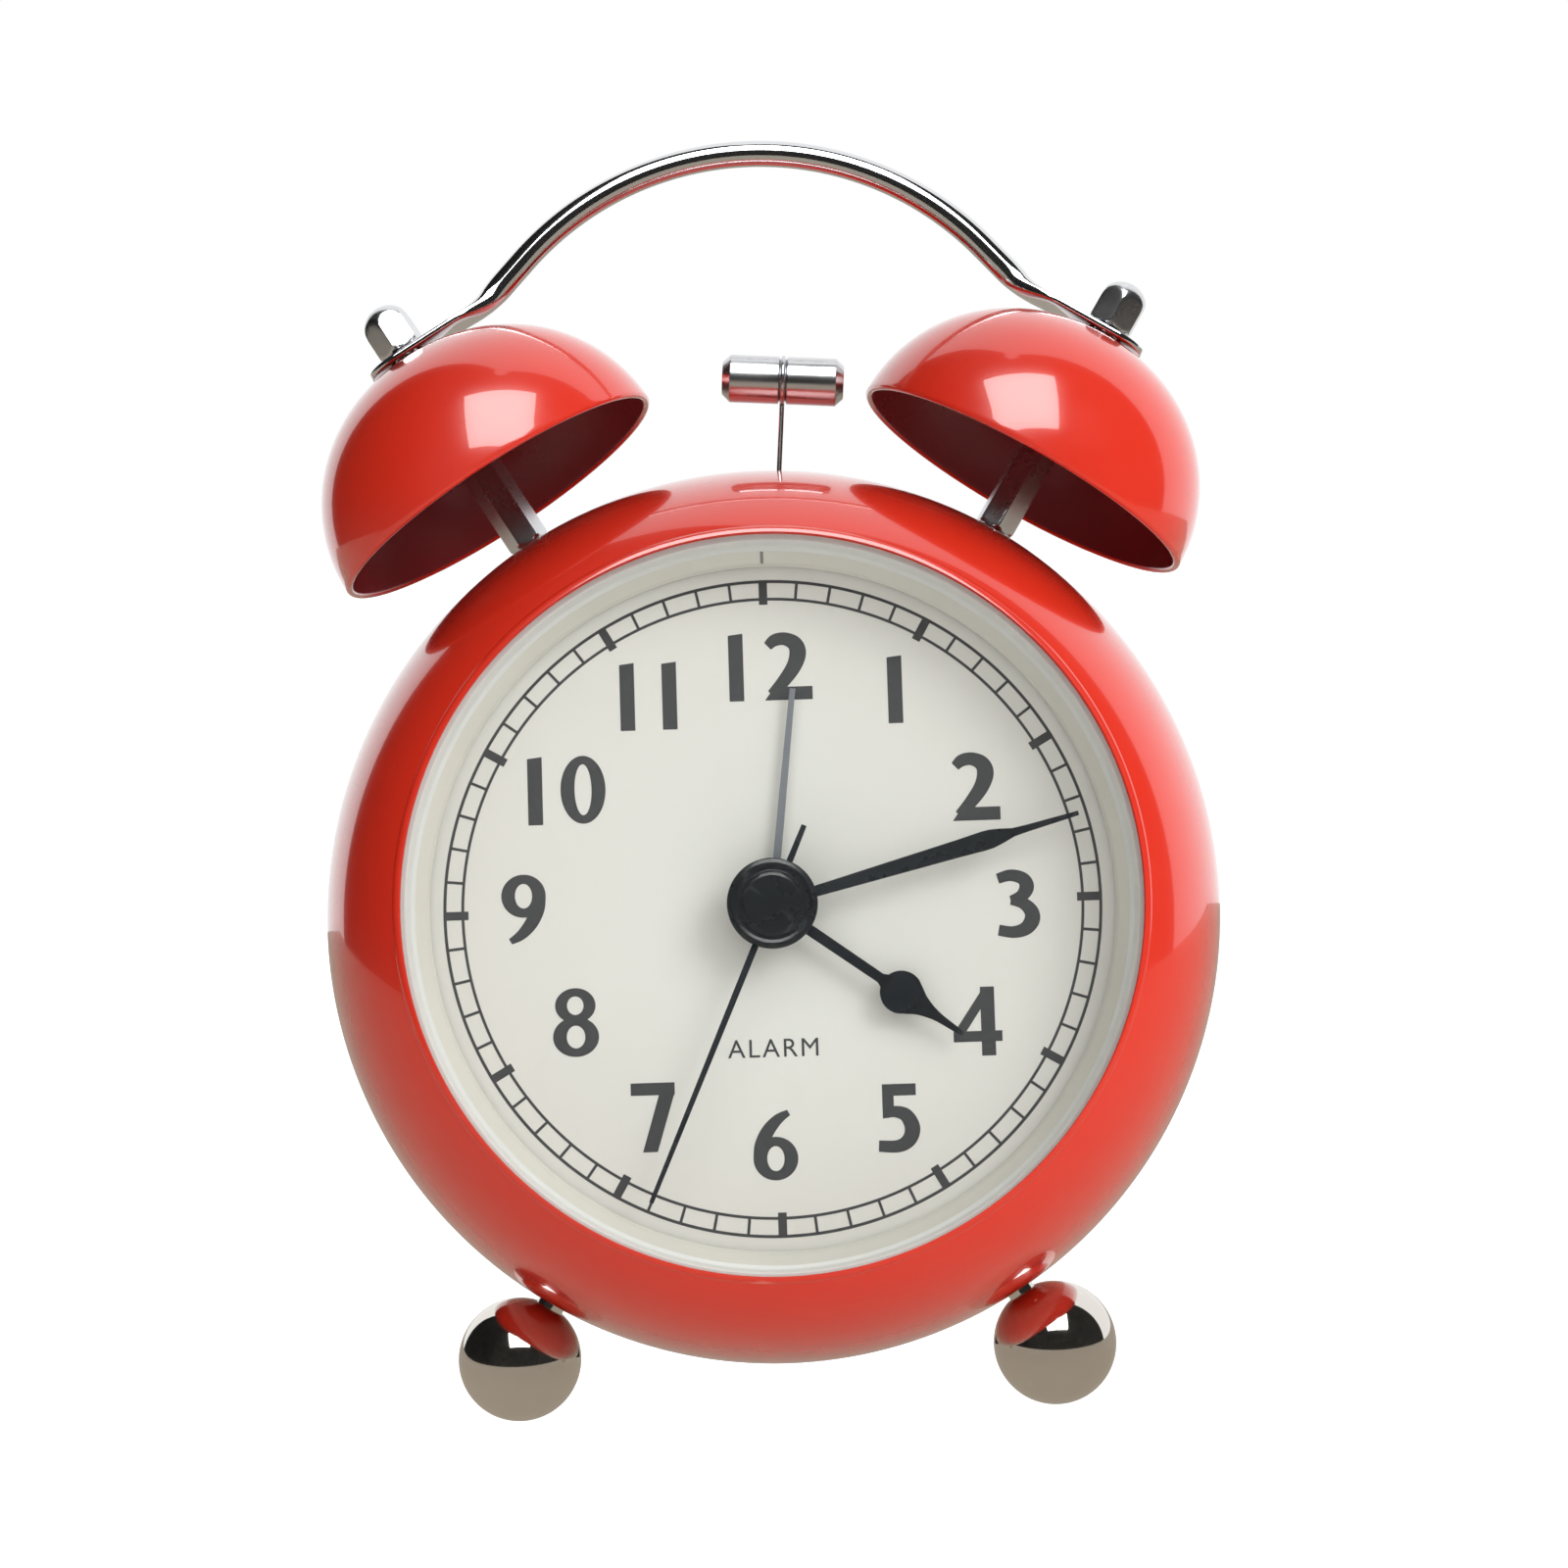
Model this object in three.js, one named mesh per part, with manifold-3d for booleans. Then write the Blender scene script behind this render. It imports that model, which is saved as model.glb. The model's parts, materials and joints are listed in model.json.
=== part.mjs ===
// Twin-bell quartz alarm clock. Millimetres.
// Everything is laid out in the clock's own upright frame: X to the right, Y into the clock, Z up, with
// the origin at the centre of the dial's face. The last lines lean that frame back on the feet and stand
// it on Z = 0.
import * as THREE from "three";
import { mergeVertices } from "three/addons/utils/BufferGeometryUtils.js";
import Module from "manifold-3d";

const wasm = await Module();
wasm.setup();

const TURN = 2 * Math.PI;
const degrees = THREE.MathUtils.degToRad;

// ---------------------------------------------------------------- driving dimensions

const leanAngle = degrees(10);
const postAngle = degrees(31.5); // bells and feet sit on rays this far from the clock's upright line
const gap = 0.3; // between pieces that rest on each other

const shell = {
  core: 29.5, // radius that the bulge is measured from
  bulge: 15.5,
  middle: 13, // depth of the widest ring
  frontReach: 23.5,
  rearReach: 80,
  rearEdge: 40,
  lipRadius: 35.6,
  wall: 1.2,
};

const slot = { x: 2.3, y: 8, length: 9.8, width: 1.6 };

const bell = {
  rimRadius: 18.4,
  height: 17.1,
  wall: 0.8,
  rimAt: 51.1, // distance of the rim's plane from the clock's axis
  y: 13,
  holeRadius: 1.9,
};

const post = { acrossCorners: 4.4, foot: 45.4, studRadius: 1.4, studFoot: 40.2, studTip: 72.2 };
const domeNut = { acrossCorners: 5.2, height: 5.2, boreRadius: 1.7, boreDepth: 3 };
const lockNut = { acrossCorners: 6, boreRadius: 1.7, at: 41, height: 1.8 };

// The handle is a bent round rod whose ends are flattened into tabs under the dome nuts.
const rod = { diameter: 2.7, apex: 78.85, facets: 12 };
const arch = { radius: 32, bendAngle: degrees(48) };
const tab = { width: 6, thickness: 0.7, bendAt: -9.3, flatFrom: -5.5, tail: 4.3 };

const foot = { radius: 6.15, y: 14, studRadius: 1.4, studLength: 10 };

const lens = { radius: 36.2, front: -6.5, thickness: 1 };
const surround = { outer: 36.1, front: -5.2, back: -0.3, mouth: 35.3, throat: 33.4 };
const dial = { radius: 36.4, thickness: 0.6, holeRadius: 2.9 };

const hourHand = { angle: degrees(126), y: -2.2, bulbAt: 15.1, bulbRadius: 2.1, tip: 22.3 };
const minuteHand = { angle: degrees(75.2), y: -3.3, waist: 22.4, neck: 24.6, tip: 31 };
const secondHand = { angle: degrees(203.8), y: -4.1, tip: 31, tail: 8.2 };
const alarmHand = { angle: degrees(7), y: -1.1, tip: 21.4 };
const handThickness = 0.3;
const cap = { radius: 4.4, bossRadius: 3.2, back: -4.25, step: -4.9, front: -5.2 };

// Wheels stand on arbors parallel to Y. Depths are the front of each wheel.
const wheelThickness = 0.7;
const level = { alarm: 2.2, hour: 3.4, motion: 4.8, centre: 6.1, third: 7.5, second: 8.9, middle: 10.3 };
const toothTip = 0.22;
const toothRoot = 0.34;

const arborAt = {
  centre: [0, 0],
  third: [0, 10.8],
  motion: [7.2, 0],
  timeSet: [15.3, 0],
  alarmSet: [-15.3, 0],
  middle: [0, -7.2],
  rotor: [5.46, -10.35],
};

const housing = { halfWidth: 23, bottom: -17, top: 22, front: 1, split: 5.9, back: 15.6, wall: 1 };
const knob = { radius: 5.5, front: 41.8, back: 47 };
const cover = { front: 38.4, back: 41.2, radius: 42.6, knobHole: 1.9 };
const heel = { halfWidth: 9, front: 40.3, back: 43.5, top: -36 };
const cell = { radius: 7.1, length: 49, y: 28.6, z: -24 };
const bay = {
  halfWidth: 29,
  bottom: -33.6,
  top: -15.4,
  front: 19.6,
  radius: 42.2, // its far corners follow the case
  wall: 1.2,
  ledge: 0.6, // the door's seat reaches this far past the opening
  doorBack: 41,
  doorRadius: 41.8,
};
const switchTravel = 6.8;
const alarmMotor = { x: -5.5, z: 29, radius: 6, front: 12.2, back: 27 };
const hammer = { pivotX: 1.2, pivotZ: 34, tilt: degrees(4.2), headAt: 19.9, headLength: 12.3 };
const hammerHead = { radius: 2.4, chamfer: 0.7, grooveHalfWidth: 0.3, grooveDepth: 0.3 };

// ---------------------------------------------------------------- colours and finishes

const finishes = {
  red: [0xd8321f, 0.18, 0],
  chrome: [0xc9cccf, 0.12, 1],
  white: [0xe9e8e0, 0.55, 0],
  black: [0x17181a, 0.35, 0],
  grey: [0x8b8e92, 0.4, 0],
  glass: [0xdfe8ea, 0.05, 0],
  brass: [0xc7a04a, 0.3, 1],
  copper: [0xb8673a, 0.4, 1],
  steel: [0x9a9ca0, 0.35, 1],
  blackPlastic: [0x202124, 0.5, 0],
  whitePlastic: [0xe4e4e0, 0.5, 0],
  board: [0x2d6b3f, 0.55, 0],
};

// ---------------------------------------------------------------- making solids

// A geometry with merged corners, no empty triangles and its faces pointing out.
function tidy(geometry) {
  const bare = geometry.index ? geometry.toNonIndexed() : geometry.clone();
  bare.deleteAttribute("normal");
  bare.deleteAttribute("uv");
  const merged = mergeVertices(bare, 1e-4);
  const corners = merged.index.array;
  const faces = [];
  for (let i = 0; i < corners.length; i += 3) {
    const [a, b, c] = corners.slice(i, i + 3);
    if (a !== b && b !== c && c !== a) faces.push(a, b, c);
  }
  merged.setIndex(faces);
  if (signedVolume(merged) < 0) merged.setIndex(faces.reverse());
  return merged;
}

function signedVolume(geometry) {
  const place = geometry.getAttribute("position");
  const corners = geometry.index.array;
  const [a, b, c] = [new THREE.Vector3(), new THREE.Vector3(), new THREE.Vector3()];
  let total = 0;
  for (let i = 0; i < corners.length; i += 3) {
    a.fromBufferAttribute(place, corners[i]);
    b.fromBufferAttribute(place, corners[i + 1]);
    c.fromBufferAttribute(place, corners[i + 2]);
    total += a.dot(b.cross(c)) / 6;
  }
  return total;
}

function toSolid(geometry) {
  const clean = tidy(geometry);
  const mesh = new wasm.Mesh({
    numProp: 3,
    vertProperties: new Float32Array(clean.getAttribute("position").array),
    triVerts: new Uint32Array(clean.index.array),
  });
  return new wasm.Manifold(mesh);
}

function toGeometry(solid) {
  const mesh = solid.getMesh();
  const geometry = new THREE.BufferGeometry();
  geometry.setAttribute("position", new THREE.BufferAttribute(mesh.vertProperties, 3));
  geometry.setIndex(new THREE.BufferAttribute(mesh.triVerts, 1));
  return geometry;
}

const join = (first, ...others) =>
  toGeometry(others.reduce((whole, piece) => whole.add(toSolid(piece)), toSolid(first)));

const cut = (first, ...others) =>
  toGeometry(others.reduce((whole, piece) => whole.subtract(toSolid(piece)), toSolid(first)));

const common = (first, second) => toGeometry(toSolid(first).intersect(toSolid(second)));

// A box between two corners.
function block([x0, y0, z0], [x1, y1, z1]) {
  const box = new THREE.BoxGeometry(x1 - x0, y1 - y0, z1 - z0);
  return box.translate((x0 + x1) / 2, (y0 + y1) / 2, (z0 + z1) / 2);
}

// A round or many-sided bar along Y at (x, z).
function bar([x, z], radius, from, to, sides = 16) {
  const cylinder = new THREE.CylinderGeometry(radius, radius, to - from, sides);
  return cylinder.translate(x, (from + to) / 2, z);
}

// A bar or cone along X at (y, z).
function lyingBar([y, z], startRadius, endRadius, from, to, sides = 16) {
  const cylinder = new THREE.CylinderGeometry(startRadius, endRadius, to - from, sides);
  return cylinder.rotateZ(Math.PI / 2).translate((from + to) / 2, y, z);
}

// A bar along Z, centred on the local Z axis.
function column(radius, from, to, sides = 12) {
  const cylinder = new THREE.CylinderGeometry(radius, radius, to - from, sides);
  return cylinder.rotateX(Math.PI / 2).translate(0, 0, (from + to) / 2);
}

// A body of revolution about Y from [radius, y] pairs.
function turned(profile, segments = 48) {
  const points = profile.map(([radius, y]) => new THREE.Vector2(radius, y));
  return new THREE.LatheGeometry(points, segments);
}

// The same about Z, from [radius, z] pairs.
const turnedUp = (profile, segments = 32) => turned(profile, segments).rotateX(Math.PI / 2);

// A flat outline in X and Z, given thickness along Y.
function plate(shape, front, back, curveSegments = 12) {
  const settings = { depth: back - front, bevelEnabled: false, curveSegments };
  return new THREE.ExtrudeGeometry(shape, settings).rotateX(Math.PI / 2).translate(0, back, 0);
}

const outline = (points) => new THREE.Shape(points.map(([x, z]) => new THREE.Vector2(x, z)));

const closed = (profile) => [...profile, profile[0]];

// A solid through rings of points, each with as many points as the next, with its two ends filled in.
function skinned(rings) {
  const count = rings[0].length;
  const corners = [];
  for (let i = 1; i < rings.length; i++) {
    for (let k = 0; k < count; k++) {
      const here = (i - 1) * count + k;
      const next = (i - 1) * count + ((k + 1) % count);
      corners.push(here, next, next + count, here, next + count, here + count);
    }
  }
  const last = (rings.length - 1) * count;
  for (let k = 1; k < count - 1; k++) {
    corners.push(0, k + 1, k, last, last + k, last + k + 1);
  }
  const geometry = new THREE.BufferGeometry();
  geometry.setAttribute("position", new THREE.Float32BufferAttribute(rings.flat(2), 3));
  geometry.setIndex(corners);
  return geometry;
}

// ---------------------------------------------------------------- assembly

const clock = new THREE.Group();
const upright = new THREE.Group();
clock.add(upright);

function place(name, geometry, finish, parent = upright) {
  const [color, roughness, metalness] = finishes[finish];
  const material = new THREE.MeshStandardMaterial({ color, roughness, metalness });
  const mesh = new THREE.Mesh(tidy(geometry), material);
  mesh.name = name;
  parent.add(mesh);
}

// A group whose Z axis points out of the case along a ray, at depth y. Angle 0 is straight up.
function ray(angle, y) {
  const group = new THREE.Group();
  group.rotation.y = angle;
  group.position.y = y;
  upright.add(group);
  return group;
}

// The turns say how far each six-sided piece is from having a corner in front.
// Each was tightened as it came.
const sides = [
  { name: "left", sign: -1, postTurn: degrees(30), nutTurn: degrees(45) },
  { name: "right", sign: 1, postTurn: degrees(10), nutTurn: degrees(57) },
];

// ---------------------------------------------------------------- case

// Points of the case's wall, set in from its outside by inset, from the lip to the rear edge.
function shellProfile(inset) {
  const bulge = shell.bulge - inset;
  const reach = shell.frontReach - inset;
  const start = Math.asin((shell.lipRadius - shell.core) / bulge);
  const frontSteps = 7;
  const rearSteps = 2;
  const points = [];
  for (let i = 0; i <= frontSteps; i++) {
    const angle = start + (i / frontSteps) * (Math.PI / 2 - start);
    points.push([shell.core + bulge * Math.sin(angle), shell.middle - reach * Math.cos(angle)]);
  }
  for (let i = 1; i <= rearSteps; i++) {
    const back = (i / rearSteps) * (shell.rearEdge - shell.middle);
    const out = bulge * Math.sqrt(1 - (back / shell.rearReach) ** 2);
    points.push([shell.core + out, shell.middle + back]);
  }
  return points;
}

function radialHole(angle, y, radius) {
  return column(radius, 36, 52).rotateY(angle).translate(0, y, 0);
}

function makeCase() {
  const wall = turned(closed([...shellProfile(0), ...shellProfile(shell.wall).reverse()]), 44);
  const halfSlot = slot.length / 2;
  const halfWidth = slot.width / 2;
  const opening = block(
    [slot.x - halfSlot, slot.y - halfWidth, 38],
    [slot.x + halfSlot, slot.y + halfWidth, 50],
  );
  const studHoles = sides.flatMap(({ sign }) => [
    radialHole(sign * postAngle, bell.y, post.studRadius + gap),
    radialHole(Math.PI - sign * postAngle, foot.y, foot.studRadius + gap),
  ]);
  place("case_shell", cut(wall, opening, ...studHoles), "red");
}

function makeFront() {
  place("lens", bar([0, 0], lens.radius, lens.front, lens.front + lens.thickness, 40), "glass");
  const ring = [
    [surround.outer, surround.front],
    [surround.outer, surround.back],
    [surround.throat, surround.back],
    [surround.throat + 0.3, surround.back - 0.9],
    [surround.mouth - 0.5, surround.back - 2.1],
    [surround.mouth, surround.back - 2.4],
    [surround.mouth, surround.front],
  ];
  place("dial_surround", turned(closed(ring), 40), "white");
  const face = bar([0, 0], dial.radius, 0, dial.thickness, 40);
  place("dial", cut(face, bar([0, 0], dial.holeRadius, -1, 2, 24)), "white");
}

// ---------------------------------------------------------------- bells, handle, feet

// Outer outline of a bell from its top to its rim, as [radius, height above the rim].
function bellProfile(inset) {
  const radius = bell.rimRadius - inset;
  const height = bell.height - inset;
  const steps = 6;
  const points = [];
  for (let i = 0; i <= steps; i++) {
    const angle = (i / steps) * (Math.PI / 2);
    points.push([radius * Math.sin(angle) ** 0.94, height * Math.cos(angle) ** 0.98]);
  }
  points[0][0] = bell.holeRadius;
  points[steps][1] = 0;
  return points;
}

function makeBell({ name, sign, postTurn, nutTurn }) {
  const group = ray(sign * postAngle, bell.y);
  const skin = closed([...bellProfile(0), ...bellProfile(bell.wall).reverse()]);
  place(`bell_${name}`, turnedUp(skin, 32).translate(0, 0, bell.rimAt), "red", group);

  const postTop = bell.rimAt + bell.height - bell.wall - gap;
  const hexagon = column(post.acrossCorners / 2, post.foot, postTop, 6).rotateZ(postTurn);
  const stud = column(post.studRadius, post.studFoot, post.studTip);
  place(`bell_post_${name}`, join(hexagon, stud), "chrome", group);

  const base = bell.rimAt + bell.height + gap + tab.thickness + gap;
  const corner = domeNut.acrossCorners / 2;
  const shoulder = base + domeNut.height - corner;
  const prism = column(corner, base, shoulder, 6).rotateZ(nutTurn);
  const dome = new THREE.SphereGeometry(corner * 0.93, 12, 8).translate(0, 0, shoulder);
  const bore = column(domeNut.boreRadius, base - 1, base + domeNut.boreDepth);
  place(`dome_nut_${name}`, cut(join(prism, dome), bore), "chrome", group);

  makeLockNut(`post_nut_${name}`, group);
}

function makeLockNut(name, parent) {
  const nut = column(lockNut.acrossCorners / 2, lockNut.at, lockNut.at + lockNut.height, 6);
  const bore = column(lockNut.boreRadius, lockNut.at - 1, lockNut.at + lockNut.height + 1);
  place(name, cut(nut, bore), "steel", parent);
}

// The ball's poles stand upright once the clock leans back, so it meets the surface below at a pole.
function makeFoot({ name, sign }) {
  const angle = Math.PI - sign * postAngle;
  const group = ray(angle, foot.y);
  const centre = footCentre();
  const ball = new THREE.SphereGeometry(foot.radius, 20, 12).rotateX(Math.PI / 2 + leanAngle);
  ball.translate(centre * Math.sin(angle), foot.y, centre * Math.cos(angle));
  const stud = column(foot.studRadius, centre - foot.studLength, centre);
  place(`ball_foot_${name}`, join(ball, stud.rotateY(angle).translate(0, foot.y, 0)), "chrome");
  makeLockNut(`foot_nut_${name}`, group);
}

// Distance of a ball's centre from the clock's axis: the ball just clears the case.
function footCentre() {
  return shell.core + shell.bulge + foot.radius + gap;
}

// Where the handle has each of its sections, from its middle to its right end: the point of its middle
// line in X and Z, its width, its thickness, and how round it is.
function handleStations() {
  const seat = bell.rimAt + bell.height + gap + tab.thickness / 2;
  const full = [rod.diameter, rod.diameter, 1];
  const flat = [tab.width, tab.thickness, 0];
  const stations = [];
  const archSteps = 8;
  for (let i = 0; i <= archSteps; i++) {
    const angle = (i / archSteps) * arch.bendAngle;
    const drop = arch.radius * (1 - Math.cos(angle));
    stations.push([arch.radius * Math.sin(angle), rod.apex - drop, ...full]);
  }
  const onBell = (offset) => [
    seat * Math.sin(postAngle) + offset * Math.cos(postAngle),
    seat * Math.cos(postAngle) - offset * Math.sin(postAngle),
  ];
  const flattened = full.map((size, i) => size + 0.3 * (flat[i] - size));
  stations.push([...onBell(tab.bendAt), ...flattened]);
  stations.push([...onBell(tab.flatFrom), ...flat]);
  const roundFrom = tab.tail - tab.width / 2;
  for (const share of [0, 0.55, 0.8, 0.95]) {
    const at = roundFrom + (share * tab.width) / 2;
    stations.push([...onBell(at), tab.width * Math.sqrt(1 - share ** 2), tab.thickness, 0]);
  }
  return stations;
}

// One section of the handle as [across, up] pairs: an oval when roundness is 1, nearly a flat bar at 0.
function handleSection(width, thickness, roundness) {
  const power = 0.25 + 0.75 * roundness;
  const swell = (share) => Math.sign(share) * Math.abs(share) ** power;
  const section = [];
  for (let i = 0; i < rod.facets; i++) {
    const angle = (i * TURN) / rod.facets;
    section.push([(swell(Math.cos(angle)) * width) / 2, (swell(Math.sin(angle)) * thickness) / 2]);
  }
  return section;
}

function makeHandle() {
  const half = handleStations();
  const mirrored = half.slice(1).map(([x, z, ...section]) => [-x, z, ...section]);
  const stations = [...mirrored.reverse(), ...half];
  const rings = stations.map(([x, z, ...section], i) => {
    const [beforeX, beforeZ] = stations[Math.max(i - 1, 0)];
    const [afterX, afterZ] = stations[Math.min(i + 1, stations.length - 1)];
    const up = new THREE.Vector2(beforeZ - afterZ, afterX - beforeX).normalize();
    const place = ([across, rise]) => [x + rise * up.x, bell.y + across, z + rise * up.y];
    return handleSection(...section).map(place);
  });
  const holes = sides.map(({ sign }) =>
    column(post.studRadius + gap, 60, 75).rotateY(sign * postAngle).translate(0, bell.y, 0),
  );
  place("handle", cut(skinned(rings), ...holes), "chrome");
}

// ---------------------------------------------------------------- hands

// A hand drawn pointing up, from [half width, distance from the pivot] pairs, with a round boss.
function makeHand(name, hand, stations, bossRadius, pipeRadius, finish) {
  const left = stations.map(([half, z]) => [-half, z]).reverse();
  const blade = plate(outline([...stations, ...left]), hand.y, hand.y + handThickness);
  const boss = bar([0, 0], bossRadius, hand.y, hand.y + handThickness, 24);
  const bore = bar([0, 0], pipeRadius, hand.y - 1, hand.y + 1, 16);
  const whole = join(blade, boss);
  place(name, cut(whole, bore).rotateY(hand.angle), finish);
}

function makeHands() {
  const bulb = [];
  for (let i = 1; i < 8; i++) {
    const angle = (i / 8) * Math.PI;
    const along = hourHand.bulbAt - hourHand.bulbRadius * Math.cos(angle);
    bulb.push([hourHand.bulbRadius * Math.sin(angle), along]);
  }
  const hourStations = [[0.55, 0], [0.5, 12.6], ...bulb.slice(0, 5), [0.75, 18.6], [0.25, hourHand.tip]];
  makeHand("hour_hand", hourHand, hourStations, 3, 1.75, "black");
  const minuteStations = [
    [0.45, 0],
    [0.95, minuteHand.waist - 1.4],
    [0.85, minuteHand.waist],
    [0.35, minuteHand.neck],
    [0.2, minuteHand.tip],
  ];
  makeHand("minute_hand", minuteHand, minuteStations, 2.6, 1.15, "black");
  const secondStations = [[0.3, -secondHand.tail], [0.35, 0], [0.2, secondHand.tip]];
  makeHand("second_hand", secondHand, secondStations, 2.2, 0.6, "black");
  makeHand("alarm_hand", alarmHand, [[0.4, 0], [0.28, alarmHand.tip]], 3.4, 2.35, "grey");
  const dome = [
    [0, cap.back],
    [cap.radius, cap.back],
    [cap.radius, cap.step],
    [cap.bossRadius, cap.step],
    [cap.bossRadius, cap.front],
    [0, cap.front],
  ];
  place("second_hand_cap", turned(dome, 24), "black");
}

// ---------------------------------------------------------------- wheel work

// A toothed outline of two points a tooth. Phase is the angle of the first tooth, from +X towards +Z.
function toothed(teeth, pitchRadius, phase) {
  const points = [];
  for (let i = 0; i < 2 * teeth; i++) {
    const angle = phase + (i * TURN) / (2 * teeth);
    const radius = i % 2 ? pitchRadius - toothRoot : pitchRadius + toothTip;
    points.push([radius * Math.cos(angle), radius * Math.sin(angle)]);
  }
  return outline(points);
}

// The phase that puts a wheel in mesh with a driver that has its own phase.
function meshPhase(driver, driverPhase, driverAt, teeth, at) {
  const direction = Math.atan2(at[1] - driverAt[1], at[0] - driverAt[0]);
  const share = ((direction - driverPhase) * driver) / TURN;
  return direction + Math.PI - ((0.5 - share) * TURN) / teeth;
}

function pitchRadii(first, second, firstAt, secondAt) {
  const distance = Math.hypot(firstAt[0] - secondAt[0], firstAt[1] - secondAt[1]);
  return [(distance * first) / (first + second), (distance * second) / (first + second)];
}

function wheel(teeth, pitchRadius, phase, at, front, thickness = wheelThickness) {
  return plate(toothed(teeth, pitchRadius, phase), front, front + thickness).translate(at[0], 0, at[1]);
}

// Two wheels that mesh, the first with phase 0 unless given, as [first, second] geometries.
function pair(first, firstAt, second, secondAt, front, firstPhase = 0) {
  const [firstRadius, secondRadius] = pitchRadii(first, second, firstAt, secondAt);
  const phase = meshPhase(first, firstPhase, firstAt, second, secondAt);
  return [
    wheel(first, firstRadius, firstPhase, firstAt, front),
    wheel(second, secondRadius, phase, secondAt, front),
  ];
}

function makeTrain() {
  const { centre, third, motion, timeSet, alarmSet, middle, rotor } = arborAt;

  const [rotorPinion, middleWheel] = pair(6, rotor, 36, middle, level.middle);
  const [middlePinion, secondWheel] = pair(8, middle, 40, centre, level.second);
  const [secondPinion, thirdWheel] = pair(8, centre, 60, third, level.third);
  const [thirdPinion, centreWheel] = pair(8, third, 64, centre, level.centre);
  const [cannon, motionWheel] = pair(12, centre, 36, motion, level.motion);
  const [motionPinion, hourWheel] = pair(10, motion, 40, centre, level.hour);
  const motionPhase = meshPhase(12, 0, centre, 36, motion);
  const setPinion = pair(36, motion, 18, timeSet, level.motion, motionPhase)[1];
  const [alarmWheel, alarmPinion] = pair(36, centre, 24, alarmSet, level.alarm);

  const magnet = bar(rotor, 1.8, 11.6, 13.4, 16);
  place("rotor", join(rotorPinion, magnet, bar(rotor, 0.4, 10, 14.2, 10)), "steel");
  const middleArbor = bar(middle, 0.4, 8.4, 14.2, 10);
  place("intermediate_wheel", join(middlePinion, middleWheel, middleArbor), "whitePlastic");
  const secondArbor = bar(centre, 0.42, -4, 14.2, 10);
  place("second_wheel", join(secondPinion, secondWheel, secondArbor), "whitePlastic");
  const thirdArbor = bar(third, 0.4, 5.6, 14.2, 10);
  place("third_wheel", join(thirdPinion, thirdWheel, thirdArbor), "whitePlastic");
  place("centre_wheel", cut(centreWheel, bar(centre, 1.15, 5, 8, 16)), "brass");

  const minutePipe = join(cannon, bar(centre, 1, -3.2, 7.1, 14));
  place("cannon_pinion", cut(minutePipe, bar(centre, 0.62, -5, 9, 14)), "brass");
  const motionArbor = bar(motion, 0.4, 3.15, 5.8, 10);
  place("motion_wheel", join(motionPinion, motionWheel, motionArbor), "whitePlastic");
  const hourPipe = join(hourWheel, bar(centre, 1.6, -2.1, level.hour + 0.5, 16));
  place("hour_wheel", cut(hourPipe, bar(centre, 1.2, -5, 9, 16)), "whitePlastic");
  const alarmPipe = join(alarmWheel, bar(centre, 2.2, -1, level.alarm + 0.5, 18));
  place("alarm_wheel", cut(alarmPipe, bar(centre, 1.8, -5, 9, 18)), "whitePlastic");

  place("time_set_arbor", join(setPinion, bar(timeSet, 1, level.motion, 46, 12)), "whitePlastic");
  place("alarm_set_arbor", join(alarmPinion, bar(alarmSet, 1, level.alarm, 46, 12)), "whitePlastic");
}

function makeMovement() {
  const { halfWidth, bottom, top, front, split, back, wall } = housing;
  const pipeHole = bar(arborAt.centre, dial.holeRadius, 0, 3, 20);
  const frontTray = cut(
    block([-halfWidth, front, bottom], [halfWidth, split, top]),
    block([-halfWidth + wall, front + 0.9, bottom + wall], [halfWidth - wall, split + 1, top - wall]),
    pipeHole,
  );
  place("movement_front_case", frontTray, "whitePlastic");
  const setHoles = [arborAt.timeSet, arborAt.alarmSet].map((at) => bar(at, 1.4, back - 3, back + 3, 12));
  const rearTray = cut(
    block([-halfWidth, split + gap, bottom], [halfWidth, back, top]),
    block([-halfWidth + wall, split - 1, bottom + wall], [halfWidth - wall, back - wall, top - wall]),
    ...setHoles,
  );
  place("movement_rear_case", rearTray, "blackPlastic");

  const [rotorX, rotorZ] = arborAt.rotor;
  const statorOutline = outline([
    [0.5, -15.2],
    [21, -15.2],
    [21, 5],
    [18.4, 5],
    [18.4, -6],
    [0.5, -6],
  ]);
  const stator = plate(statorOutline, 12, 12.8);
  place("stator", cut(stator, bar([rotorX, rotorZ], 2.4, 11, 14, 16)), "steel");
  const winding = column(1.9, -4.5, 4.5, 16);
  place("coil", winding.translate(19.6, 9.8, 0), "copper");
  place("circuit_board", block([-21.5, 10.6, -15.2], [-6.2, 11.8, -3]), "board");
  place("quartz_crystal", lyingBar([9.3, -12], 1, 1, -16, -10, 12), "steel");
}

// ---------------------------------------------------------------- striking work

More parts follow.
